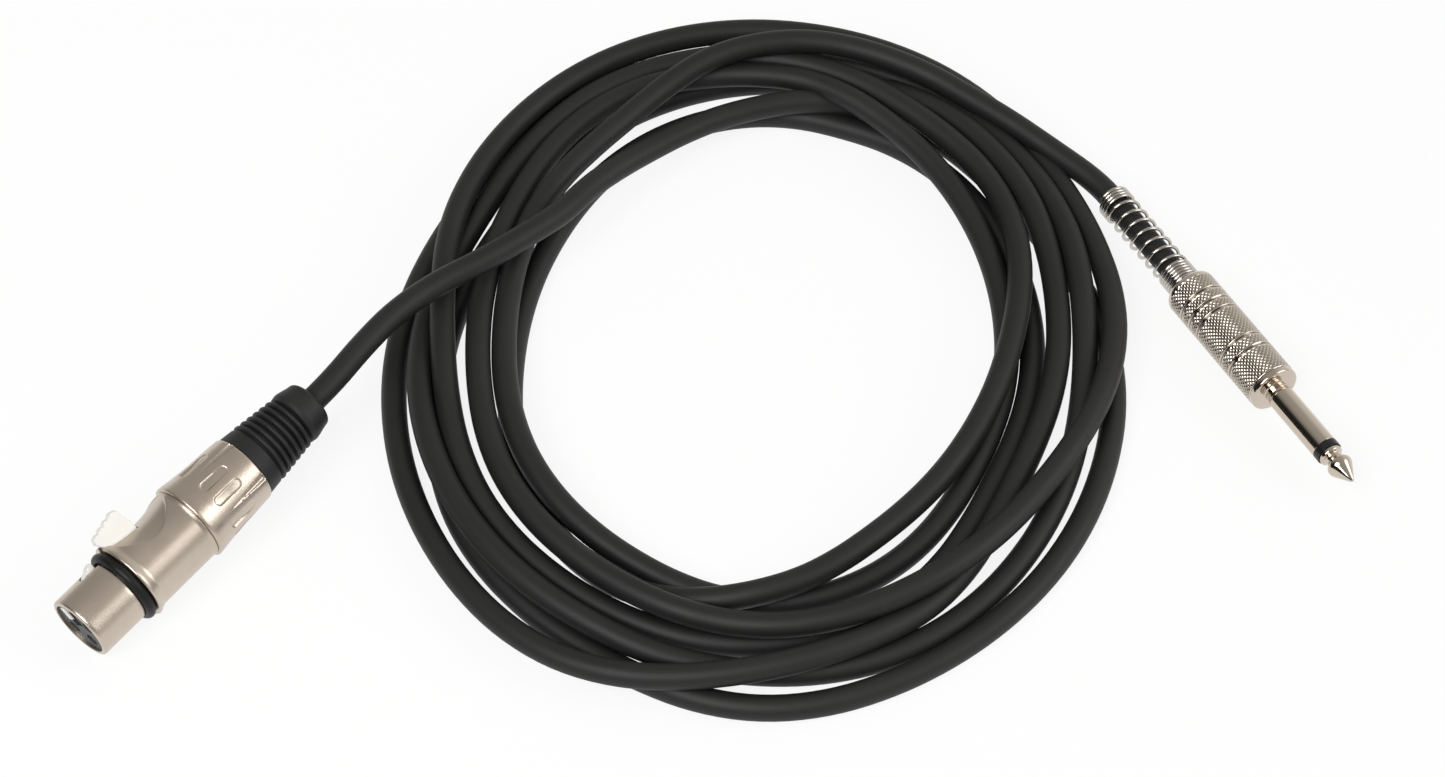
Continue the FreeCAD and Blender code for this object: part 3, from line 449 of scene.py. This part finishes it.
def box_mesh(name, place, low, high):
    """A box between two corners, for cutting."""
    build = bmesh.new()
    bmesh.ops.create_cube(build, size=1.0)
    for corner in build.verts:
        spot = [low[axis] + (high[axis] - low[axis]) * (corner.co[axis] + 0.5)
                for axis in range(3)]
        corner.co = place @ (Vector(spot) * MM)
    mesh = bpy.data.meshes.new(name)
    build.to_mesh(mesh)
    build.free()
    return mesh


def cut_box(piece, cutter_mesh):
    """Cut a box out of a piece."""
    cutter = bpy.data.objects.new(cutter_mesh.name, cutter_mesh)
    bpy.context.scene.collection.objects.link(cutter)
    cut = piece.modifiers.new(cutter_mesh.name, "BOOLEAN")
    cut.object = cutter
    cut.solver = "EXACT"
    bpy.context.view_layer.update()
    cut_mesh = bpy.data.meshes.new_from_object(
        piece.evaluated_get(bpy.context.evaluated_depsgraph_get()))
    piece.modifiers.clear()
    bpy.data.objects.remove(cutter)
    piece.data = cut_mesh


def make_housing(materials):
    outline = [(0.0, NOSE_BORE, False), (0.0, 7.55, False), (0.08, 7.75, False),
               (0.25, 7.93, False), (0.5, NOSE_RADIUS, False)]
    outline += [(station, NOSE_RADIUS, False) for station in between(1.0, 12.2, 0.8)]
    outline += [(12.4, 7.95, False), (SEAT_START, 7.8, False), (SEAT_START, SEAT_RADIUS, False),
                (SEAT_END, SEAT_RADIUS, False), (SEAT_END, 9.75, False),
                (SEAT_END + 0.1, 9.9, False), (SEAT_END + 0.3, LIP_RADIUS, False)]
    for station in between(15.7, 33.2, 0.17):
        flare = 1 - soft_step(15.4, 17.9, station)
        outline.append((station, BODY_RADIUS + (LIP_RADIUS - BODY_RADIUS) * flare, True))
    outline += [(33.7, 9.22, False), (34.0, 9.35, False), (34.2, 9.4, False),
                (34.36, 9.34, False), (HOUSING_REAR, 7.8, False), (29.0, 7.8, False),
                (29.0, BODY_BORE, False), (7.0, BODY_BORE, False), (7.0, NOSE_BORE, False)]
    mesh = lathe_mesh("housing_dished", XLR, outline, HOUSING_SIDES, dish)
    piece = finish_piece(mesh, "cable", materials["nickel_satin"],
                         crease=HOUSING_CREASE)
    cut_box(piece, box_mesh("slot_cut", XLR, (7.0, -SLOT_HALF, 5.0), (24.8, SLOT_HALF, 12.0)))
    cut_box(piece, box_mesh("lever_cut", XLR, (7.5, -LEVER_ROOM, 4.1),
                            (29.5, LEVER_ROOM, 7.0)))
    piece.data.set_sharp_from_angle(angle=math.radians(HOUSING_CREASE))
    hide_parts("xlr_housing")


# Latch: a lever with a tongue in front, a hook, and a tab with a scalloped edge

LEVER_TOP = 6.2
LEVER_HALF_WIDTH = 2.2
TONGUE_HALF_WIDTH = 1.15
TAB_HALF_WIDTH = 1.0
PIVOT_STATION = 27.5
SCALLOP_STEPS = 8


def scalloped(start, end, count, depth):
    """Points along a line, with shallow round scallops that rise above it."""
    (x0, z0), (x1, z1) = start, end
    length = math.hypot(x1 - x0, z1 - z0)
    across = ((z1 - z0) / length, -(x1 - x0) / length)
    points = []
    for step in range(count * SCALLOP_STEPS + 1):
        share = step / (count * SCALLOP_STEPS)
        rise = depth * abs(math.sin(math.pi * share * count))
        points.append((x0 + (x1 - x0) * share - across[0] * rise,
                       z0 + (z1 - z0) * share - across[1] * rise))
    return points


def plate_into(build, outline, half_width, round_off):
    """Add a flat plate across Y with an outline in (station, height) and rounded edges."""
    ring = [build.verts.new((station, -half_width, height)) for station, height in outline]
    face = build.faces.new(ring)
    moved = bmesh.ops.extrude_face_region(build, geom=[face])["geom"]
    corners = [item for item in moved if isinstance(item, bmesh.types.BMVert)]
    for corner in corners:
        corner.co.y = half_width
    edges = [edge for corner in ring + corners for edge in corner.link_edges
             if abs(edge.verts[0].co.y - edge.verts[1].co.y) < 1e-6]
    bmesh.ops.bevel(build, geom=list(dict.fromkeys(edges)), offset=round_off, segments=2,
                    affect="EDGES", clamp_overlap=True)


def make_latch(materials):
    build = bmesh.new()
    lever = [(2.6, 4.4), (2.6, LEVER_TOP), (PIVOT_STATION, LEVER_TOP), (28.6, 5.8), (29.0, 5.3),
             (28.4, 4.2), (PIVOT_STATION, 3.85), (26.4, 4.4)]
    plate_into(build, lever, LEVER_HALF_WIDTH, 0.12)
    tongue = [(0.1, 2.9), (0.1, 6.3), (4.0, 6.3), (4.0, 4.7), (0.48, 4.7), (0.48, 2.9)]
    plate_into(build, tongue, TONGUE_HALF_WIDTH, 0.08)
    hook = [(6.4, 5.4), (6.4, 6.3)] + scalloped((7.4, 7.3), (10.4, 9.2), 2, 0.14)
    hook += [(11.3, 9.2), (11.5, LEVER_TOP), (11.5, 5.4)]
    plate_into(build, hook, TAB_HALF_WIDTH, 0.12)
    tab = [(15.9, 5.6), (15.9, 9.75), (15.1, 10.9), (14.9, 11.4)]
    tab += scalloped((15.1, 12.3), (22.6, 14.25), 4, 0.34)
    tab += [(23.5, 13.9), (24.5, 9.6), (24.6, 5.6)]
    plate_into(build, tab, TAB_HALF_WIDTH, 0.14)
    bmesh.ops.recalc_face_normals(build, faces=build.faces)
    mesh = bpy.data.meshes.new("latch_lever")
    build.to_mesh(mesh)
    build.free()
    mesh.transform(XLR @ Matrix.Scale(MM, 4))
    mesh.update()
    piece = finish_piece(mesh, "latch", materials["latch_metal"], crease=35)
    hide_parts("xlr_latch")


# Ribbed boot

BOOT_FRONT = SLEEVE_REAR
BOOT_REAR = 74.65
BOOT_FRONT_RADIUS = 8.35
BOOT_REAR_RADIUS = 5.9
BOOT_ROUND = 1.3
BOOT_BORE = 3.1
RIB_START = 4.35
RIB_PITCH = 1.82
RIB_GROOVES = 7
RIB_DEPTH = 0.95
FIRST_RIB_DEPTH = 0.7
RIB_SWELL = 0.16
PLAIN_SIDES = 128


def boot_radius(station):
    """Outer radius of the boot: a band, six ribs with grooves between, a rounded cap."""
    along = station - BOOT_FRONT
    fall = BOOT_FRONT_RADIUS - BOOT_REAR_RADIUS
    radius = BOOT_FRONT_RADIUS - fall * along / (BOOT_REAR - BOOT_FRONT)
    for index in range(RIB_GROOVES):
        aside = abs(along - RIB_START - RIB_PITCH * index)
        depth = RIB_DEPTH if index else FIRST_RIB_DEPTH
        radius -= depth * (1 - soft_step(0.12, 0.55, aside))
    if RIB_START < along < RIB_START + RIB_PITCH * (RIB_GROOVES - 1):
        radius -= RIB_SWELL * math.cos((along - RIB_START) / RIB_PITCH * 2 * math.pi)
    radius += 0.35 * soft_step(15.6, 17.2, along) * (1 - soft_step(17.2, 21.0, along))
    return radius


def make_boot(materials):
    rear = BOOT_REAR - BOOT_ROUND
    outline = [(46.0, BOOT_BORE, False), (46.0, 7.5, False), (BOOT_FRONT, 7.5, False),
               (BOOT_FRONT + 0.02, 8.1, False)]
    outline += [(station, boot_radius(station), False)
                for station in between(BOOT_FRONT + 0.12, rear, 0.11)]
    last = outline[-1][1]
    outline += rounded_end(rear, BOOT_ROUND, last - BOOT_ROUND, last)
    outline += [(BOOT_REAR, 3.25, False), (BOOT_REAR - 0.4, BOOT_BORE, False)]
    mesh = lathe_mesh("boot_ribbed", XLR, outline, PLAIN_SIDES)
    piece = finish_piece(mesh, "cable", materials["boot_rubber"], crease=50)
    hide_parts("xlr_boot")


# Polished point and shaft of the plug

ROD_RADIUS = 1.1
POINT_END = 0.02
SHAFT_RADIUS = 3.175
SHAFT_BORE = 1.66
BOSS_RADIUS = 5.0
POINT_SIDES = 96


def make_tip(materials):
    line = [(-30.97, 0.2), (-30.86, 0.38), (-30.6, 0.58), (-29.4, 1.28), (-28.2, 1.98),
            (-27.1, 2.62), (-26.75, 2.82), (-26.4, 2.97), (-26.0, 3.05), (-25.6, 3.03),
            (-25.2, 2.9), (-24.85, 2.66), (-24.55, 2.36), (-24.3, 2.1), (-24.1, 1.97),
            (-23.7, 1.93), (-23.2, 1.95), (-23.05, 2.08), (-22.95, 2.4), (-22.85, 2.66),
            (-22.65, 2.82), (-22.4, 2.85), (-21.95, 2.85), (-21.75, 2.8), (-21.7, 2.7),
            (-21.7, ROD_RADIUS)]
    outline = [(-31.0, POINT_END, False)]
    outline += [(station, radius, False) for station, radius in line]
    outline += [(12.7, ROD_RADIUS, False), (12.7, POINT_END, False)]
    mesh = lathe_mesh("plug_point", PLUG, outline, POINT_SIDES)
    piece = finish_piece(mesh, "cable", materials["plug_nickel"], crease=50)
    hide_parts("jack_tip")
    return piece


def make_shaft(materials):
    """Shaft with its ringed undercut, front plate and threaded boss."""
    line = [(-19.9, SHAFT_BORE), (-19.9, 3.08), (-19.8, SHAFT_RADIUS)]
    line += [(station, SHAFT_RADIUS) for station in between(-19.0, -3.0, 2.0)]
    line += [(-2.4, SHAFT_RADIUS), (-2.25, 3.1), (-2.2, 2.85), (-1.4, 2.85), (-1.3, 2.68),
             (-1.1, 2.68), (-1.0, 2.85), (-0.2, 2.85), (0.0, 3.1), (0.0, 5.65), (0.05, 5.85),
             (0.18, 6.02), (0.4, 6.13), (0.6, 6.15), (1.3, 6.15), (1.45, 6.08), (1.5, 5.9),
             (1.58, 5.9), (1.58, BOSS_RADIUS), (8.0, BOSS_RADIUS), (8.0, 3.5), (10.5, 3.5),
             (10.5, SHAFT_BORE)]
    outline = [(station, radius, False) for station, radius in line]
    mesh = lathe_mesh("plug_shaft", PLUG, outline, PLAIN_SIDES)
    piece = finish_piece(mesh, "cable", materials["plug_nickel"], crease=35)
    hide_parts("jack_sleeve")
    return piece


# Strain relief spring of the plug: close coils, open coils, close coils

SPRING_WIRE = 0.86
SPRING_RADIUS = 3.93
SPRING_START = 32.7

# Turns and pitch of each part, from the shell to the cable
SPRING_PARTS = ((10.5, 0.9), (7.0, 3.36), (3.7, 0.9))
SPRING_STEPS = 28
SPRING_SIDES = 10


def spring_station(turn):
    """Station of the wire's centre after a number of turns."""
    station = SPRING_START
    for count, pitch in SPRING_PARTS:
        station += min(max(turn, 0.0), count) * pitch
        turn -= count
    return station


def make_spring(materials):
    rows = int(sum(count for count, _ in SPRING_PARTS) * SPRING_STEPS) + 1
    build = bmesh.new()
    rings = []
    for row in range(rows):
        angle = 2 * math.pi * row / SPRING_STEPS
        outward = Vector((0.0, math.sin(angle), math.cos(angle)))
        centre = Vector((spring_station(row / SPRING_STEPS), 0.0, 0.0))
        centre += outward * SPRING_RADIUS
        ring = []
        for side in range(SPRING_SIDES):
            turn = 2 * math.pi * side / SPRING_SIDES
            spot = centre + outward * (math.cos(turn) * SPRING_WIRE / 2)
            spot.x += math.sin(turn) * SPRING_WIRE / 2
            ring.append(build.verts.new(PLUG @ (spot * MM)))
        rings.append(ring)
    build.faces.new(rings[0])
    build.faces.new(rings[-1][::-1])
    for ring, following in zip(rings, rings[1:]):
        for side in range(SPRING_SIDES):
            other = (side + 1) % SPRING_SIDES
            build.faces.new((ring[side], ring[other], following[other], following[side]))
    bmesh.ops.recalc_face_normals(build, faces=build.faces)
    mesh = bpy.data.meshes.new("spring_wound")
    build.to_mesh(mesh)
    build.free()
    piece = finish_piece(mesh, "cable", materials["steel"], crease=60)
    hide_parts("jack_spring")
    return piece


# The cable inside the boot and inside the plug's spring

CABLE_DIAMETER = 6.0 * MM
BEVEL_STEPS = 8
LEAD_PARTS = 5
LEAD_STEPS = 12
BOOT_LEAD = (40.0, BOOT_REAR)
SPRING_LEAD = (25.5, 69.79)


def jacketed(name, points, steps, material):
    """An open, jacketed length of cable along a smooth line, with steps between its points."""
    curve = bpy.data.curves.new(name, "CURVE")
    curve.dimensions = "3D"
    spline = curve.splines.new("NURBS")
    spline.points.add(len(points) - 1)
    for place, point in zip(spline.points, points):
        place.co = (*point, 1.0)
    spline.order_u = 3
    spline.use_endpoint_u = True
    # Steps that are set after the object is made leave its bounding box 1 m too large
    spline.resolution_u = steps
    curve.bevel_depth = CABLE_DIAMETER / 2
    curve.bevel_resolution = BEVEL_STEPS
    curve.use_fill_caps = True
    curve.materials.append(material)
    piece = bpy.data.objects.new(name, curve)
    bpy.context.scene.collection.objects.link(piece)
    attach(piece, "cable")
    return piece


def make_lead(name, place, reach, node, material):
    """The jacketed cable inside a connector, along its axis."""
    start, end = reach
    stations = between(start, end, (end - start) / LEAD_PARTS)
    points = [place @ Vector((station * MM, 0, 0)) for station in stations]
    piece = jacketed(name, points, LEAD_STEPS, material)
    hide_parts(node)
    return piece


# The cable: loose turns as listed, then let down until none lies inside another

CABLE_STEPS = 5
COIL_CENTRE = (10.3, 18.8)
COIL_STRETCH = 15.0

# One row a turn: half width and rough height at every 30 degrees, clockwise from the left
TURNS = [
    [None, (53.0, 16.0), (51.6, 12.5), (59.0, 7.7), (71.0, 3.0), (74.0, 3.0),
     (82.2, 3.0), (83.5, 3.0), (82.5, 3.0), (84.0, 3.0), (79.5, 3.0), (79.5, 3.0)],
    [(74.5, 3.0), (69.5, 3.0), (71.0, 3.0), (73.5, 3.0), (78.2, 8.0), (75.2, 8.0),
     (69.8, 7.0), (64.6, 3.5), (71.2, 5.5), (77.4, 9.0), (87.2, 6.0), (87.0, 4.0)],
    [(84.6, 3.0), (80.5, 3.0), (82.0, 3.0), (83.0, 3.0), (82.5, 3.0), (79.8, 8.0),
     (75.7, 8.0), (76.3, 3.0), (77.0, 3.0), (75.5, 3.5), (77.5, 8.0), (79.0, 8.5)],
    [(78.5, 8.8), (75.6, 6.5), (78.6, 8.5), (77.5, 8.5), (71.2, 8.7), (69.6, 9.0),
     (59.0, 10.5), (52.0, 9.5), (50.0, 8.5), (56.5, 9.0), (62.5, 3.5), (61.0, 3.0)],
    [(57.5, 3.0), (57.2, 3.0), (60.4, 3.0), (63.6, 3.0), (65.5, 3.0), (65.5, 3.0),
     (63.0, 3.0), (61.5, 3.0), (65.5, 3.0), (67.5, 3.0), (70.0, 5.0), (74.0, 9.0)],
    [(74.0, 10.0), (80.5, 9.5), (85.0, 8.8), (87.3, 7.0), (88.5, 3.0), (84.5, 3.2),
     (82.4, 10.0), (73.0, 11.0), (69.0, 10.0), (67.0, 10.0), (65.0, 10.0), (66.0, 12.0)],
    [(64.0, 12.0), (67.0, 8.5), (73.0, 8.5), (69.5, 8.5), (64.2, 8.5), (61.5, 8.0),
     (60.8, 4.0), (57.5, 3.0), (57.5, 3.0), (57.5, 3.0), (57.3, 7.0), (60.7, 9.0)],
    [(61.0, 6.5), (62.4, 12.0), (62.7, 14.5), (75.0, 14.5), (82.3, 9.5)],
]
ROW_STEP = 30
STEP = 10
COLUMNS = 360 // STEP
TOUCH = 6.15
FLOOR_HEIGHT = 3.0

# A quadratic spline runs about this far inside the points that lead it round the coil
SPLINE_INSET = 0.35

# Points of the two tails, in millimetres: from the boot, and to the plug
BOOT_TAIL = [(-91.97, -6.56, 17.62), (-87.4, -1.2, 18.5), (-81.4, 8.4, 19.2),
             (-74.0, 19.0, 19.3), (-64.5, 28.2, 19.0), (-53.6, 36.0, 18.4),
             (-44.2, 44.6, 17.4)]
PLUG_TAIL = [(61.6, 97.2, 9.2), (71.6, 89.8, 8.4), (82.0, 81.3, 6.8), (93.0, 71.4, 5.8),
             (95.82, 66.61, 5.59)]


def through(stations, values, at):
    """The value at a place on the smooth line through evenly spaced values."""
    index = min(max(int((at - stations[0]) // ROW_STEP), 0), len(stations) - 2)
    share = (at - stations[index]) / ROW_STEP
    before = values[max(index - 1, 0)]
    here = values[index]
    there = values[index + 1]
    after = values[min(index + 2, len(values) - 1)]
    return 0.5 * (2 * here + (there - before) * share
                  + (2 * before - 5 * here + 4 * there - after) * share ** 2
                  + (3 * here - before - 3 * there + after) * share ** 3)


def planned_coil():
    """Angles, half widths and heights of the turns as they are planned."""
    stations = []
    widths = []
    heights = []
    for turn, row in enumerate(TURNS):
        for index, entry in enumerate(row):
            if entry:
                stations.append(turn * 360 + index * ROW_STEP)
                widths.append(entry[0])
                heights.append(entry[1])
    angles = list(range(stations[0], stations[-1] + 1, STEP))
    across = [through(stations, widths, angle) for angle in angles]
    up = [max(through(stations, heights, angle), FLOOR_HEIGHT) for angle in angles]
    return angles, across, up


# How strands settle in one round: how much less they give sideways than up, how stiff the
# cable is in height and sideways, how far it sinks, and how it is drawn back to its plan
SIDEWAYS = 0.7
STIFF_UP = 0.35
STIFF_ASIDE = 0.4
SINK = 0.03
RECALL_UP = 0.02
RECALL_ASIDE = 0.98
ROUNDS = 400
PUSHES = 4


def push_apart(across, up, first, second):
    """Move two strands of one column apart until they just touch."""
    aside = across[second] - across[first]
    above = up[second] - up[first]
    distance = math.hypot(aside, above)
    if distance >= TOUCH:
        return
    if distance < 1e-6:
        above = distance = 1e-6
    share = (TOUCH - distance) / distance / 2
    across[first] -= aside * share * SIDEWAYS
    across[second] += aside * share * SIDEWAYS
    up[first] -= above * share
    up[second] += above * share


def settled_coil():
    """Let the planned turns down on each other and on the floor."""
    angles, planned_across, planned_up = planned_coil()
    across = list(planned_across)
    up = list(planned_up)
    count = len(angles)
    columns = [range(start, count, COLUMNS) for start in range(COLUMNS)]
    for _ in range(ROUNDS):
        level = list(up)
        aside = [across[i] - planned_across[i] for i in range(count)]
        for i in range(1, count - 1):
            even = (level[i - 1] + level[i + 1]) / 2
            up[i] = level[i] + STIFF_UP * (even - level[i]) - SINK
            up[i] += RECALL_UP * (planned_up[i] - up[i])
            even = (aside[i - 1] + aside[i + 1]) / 2
            moved = aside[i] + STIFF_ASIDE * (even - aside[i])
            across[i] = planned_across[i] + RECALL_ASIDE * moved
        for _ in range(PUSHES):
            for column in columns:
                for place, first in enumerate(column):
                    for second in column[place + 1:]:
                        push_apart(across, up, first, second)
            up = [max(height, FLOOR_HEIGHT) for height in up]
    return angles, across, up


def cable_points():
    """Control points of the whole free cable, in metres, from the boot to the plug."""
    points = [Vector(point) * MM for point in BOOT_TAIL]
    for angle, across, up in zip(*settled_coil()):
        turn = math.radians(angle)
        wide = across + SPLINE_INSET
        points.append(Vector((COIL_CENTRE[0] - wide * math.cos(turn),
                              COIL_CENTRE[1] + (wide + COIL_STRETCH) * math.sin(turn),
                              up)) * MM)
    return points + [Vector(point) * MM for point in PLUG_TAIL]


def make_cable(material):
    points = cable_points()
    cable = jacketed("cable", points, CABLE_STEPS, material)
    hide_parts("cable_tail_xlr", "cable_coil", "cable_tail_jack")


# Floor, lamps and world

FLOOR_REACH = 4.0
FLOOR_COLOUR = (0.86, 0.86, 0.86, 1.0)
WHITE = (1.0, 1.0, 1.0, 1.0)
FLOOR_GLOW = 0.87
LAMPS = [
    {"name": "lamp_right", "place": (3.3, -0.4, 2.15), "width": 2.3, "height": 2.0,
     "watts": 42.0},
    {"name": "lamp_front", "place": (-0.6, -0.95, 1.3), "width": 1.0, "height": 1.0,
     "watts": 24.0},
]
ROOM_SLOPE = (0.42, 0.30, 0.05)
ROOM_STOPS = [(0.12, (0.02, 0.019, 0.018, 1.0)), (0.95, (0.80, 0.79, 0.77, 1.0))]
ROOM_LEVELS = [(0.2, 0.05), (0.28, 0.28), (0.45, 0.42), (0.75, 0.48)]


def make_floor():
    """A white floor that shows as white, and still holds the object's soft shadow."""
    mesh = bpy.data.meshes.new("floor")
    reach = FLOOR_REACH
    corners = [(-reach, -reach, 0), (reach, -reach, 0), (reach, reach, 0), (-reach, reach, 0)]
    mesh.from_pydata(corners, [], [(0, 1, 2, 3)])
    graph = Graph("floor")
    graph.settle(FLOOR_COLOUR, 0.9)
    path = graph.add("ShaderNodeLightPath").outputs
    seen = graph.maths("MAXIMUM", path["Is Camera Ray"], path["Is Glossy Ray"])
    seen = graph.maths("MAXIMUM", seen, path["Is Transmission Ray"])
    glow = graph.add("ShaderNodeEmission", {"Color": WHITE, "Strength": 1.0})
    share = graph.maths("MULTIPLY", seen, FLOOR_GLOW)
    mix = graph.add("ShaderNodeMixShader", {"Fac": share})
    graph.link(graph.shader.outputs["BSDF"], mix.inputs[1])
    graph.link(glow.outputs["Emission"], mix.inputs[2])
    graph.link(mix.outputs["Shader"], graph.output.inputs["Surface"])
    mesh.materials.append(graph.material)
    floor = bpy.data.objects.new("floor", mesh)
    bpy.context.scene.collection.objects.link(floor)


def make_lamp(name, place, width, height, watts):
    """A soft rectangular lamp that points at the middle of the floor."""
    data = bpy.data.lights.new(name, "AREA")
    data.shape = "RECTANGLE"
    data.size = width
    data.size_y = height
    data.energy = watts
    lamp = bpy.data.objects.new(name, data)
    bpy.context.scene.collection.objects.link(lamp)
    lamp.location = place
    aim(lamp, (0.0, 0.0, 0.0))


def make_world():
    """A studio: dark to the left and in front, lighter behind and to the right."""
    world = bpy.data.worlds.new("world")
    world.use_nodes = True
    bpy.context.scene.world = world
    tree = world.node_tree
    room = tree.nodes["Background"]
    direction = tree.nodes.new("ShaderNodeTexCoord").outputs["Generated"]
    slope = tree.nodes.new("ShaderNodeVectorMath")
    slope.operation = "DOT_PRODUCT"
    slope.inputs[1].default_value = ROOM_SLOPE
    tree.links.new(direction, slope.inputs[0])
    middle = tree.nodes.new("ShaderNodeMath")
    middle.operation = "ADD"
    middle.inputs[1].default_value = 0.5
    tree.links.new(slope.outputs["Value"], middle.inputs[0])
    shade = tree.nodes.new("ShaderNodeValToRGB")
    tree.links.new(middle.outputs["Value"], shade.inputs["Fac"])
    stops = shade.color_ramp.elements
    for stop, (place, colour) in zip(stops, ROOM_STOPS):
        stop.position = place
        stop.color = colour
    for place, level in ROOM_LEVELS:
        stops.new(place).color = (level, level * 0.97, level * 0.93, 1.0)
    tree.links.new(shade.outputs["Color"], room.inputs["Color"])
    room.inputs["Strength"].default_value = 1.0


def make_light():
    for lamp in LAMPS:
        make_lamp(**lamp)
    make_world()
    bpy.context.scene.view_settings.view_transform = "Standard"


def dress(materials):
    """Give the connectors' CAD nodes their finishes, also those that a piece replaces."""
    finish = {
        "xlr_housing": "nickel_satin", "xlr_o_ring": "seal_rubber",
        "xlr_insert": "insert_plastic", "xlr_contact_1": "contact_gold",
        "xlr_contact_2": "contact_gold", "xlr_contact_3": "contact_gold",
        "xlr_latch": "latch_metal", "xlr_latch_pin": "steel", "xlr_latch_spring": "steel",
        "xlr_rear_sleeve": "nickel_satin", "xlr_clamp": "clamp_plastic",
        "xlr_boot": "boot_rubber", "core_hot_xlr": "core_red", "core_return_xlr": "core_white",
        "cable_end_xlr": "cable_jacket", "jack_tip": "plug_nickel",
        "jack_insulator": "band_plastic", "jack_sleeve": "plug_nickel",
        "jack_rear_washer": "band_plastic", "jack_tip_lug": "lug_brass",
        "jack_sleeve_lug": "lug_brass", "jack_liner": "clamp_plastic",
        "jack_shell": "shell_nickel", "jack_spring": "steel",
        "cable_end_jack": "cable_jacket", "core_hot_jack": "core_red",
        "core_return_jack": "core_white",
    }
    for name, slot in finish.items():
        mesh = nodes[name].data
        mesh.materials.clear()
        mesh.materials.append(materials[slot])


make_camera()
finishes = make_materials()
dress(finishes)
shell = make_shell(finishes)
make_housing(finishes)
make_latch(finishes)
make_sleeve(finishes)
make_boot(finishes)
point = make_tip(finishes)
shaft = make_shaft(finishes)
spring = make_spring(finishes)
jacket = finishes["cable_jacket"]
make_lead("lead_in_boot", XLR, BOOT_LEAD, "cable_end_xlr", jacket)
lead = make_lead("lead_in_spring", PLUG, SPRING_LEAD, "cable_end_jack", jacket)
make_cable(jacket)
make_floor()
make_light()
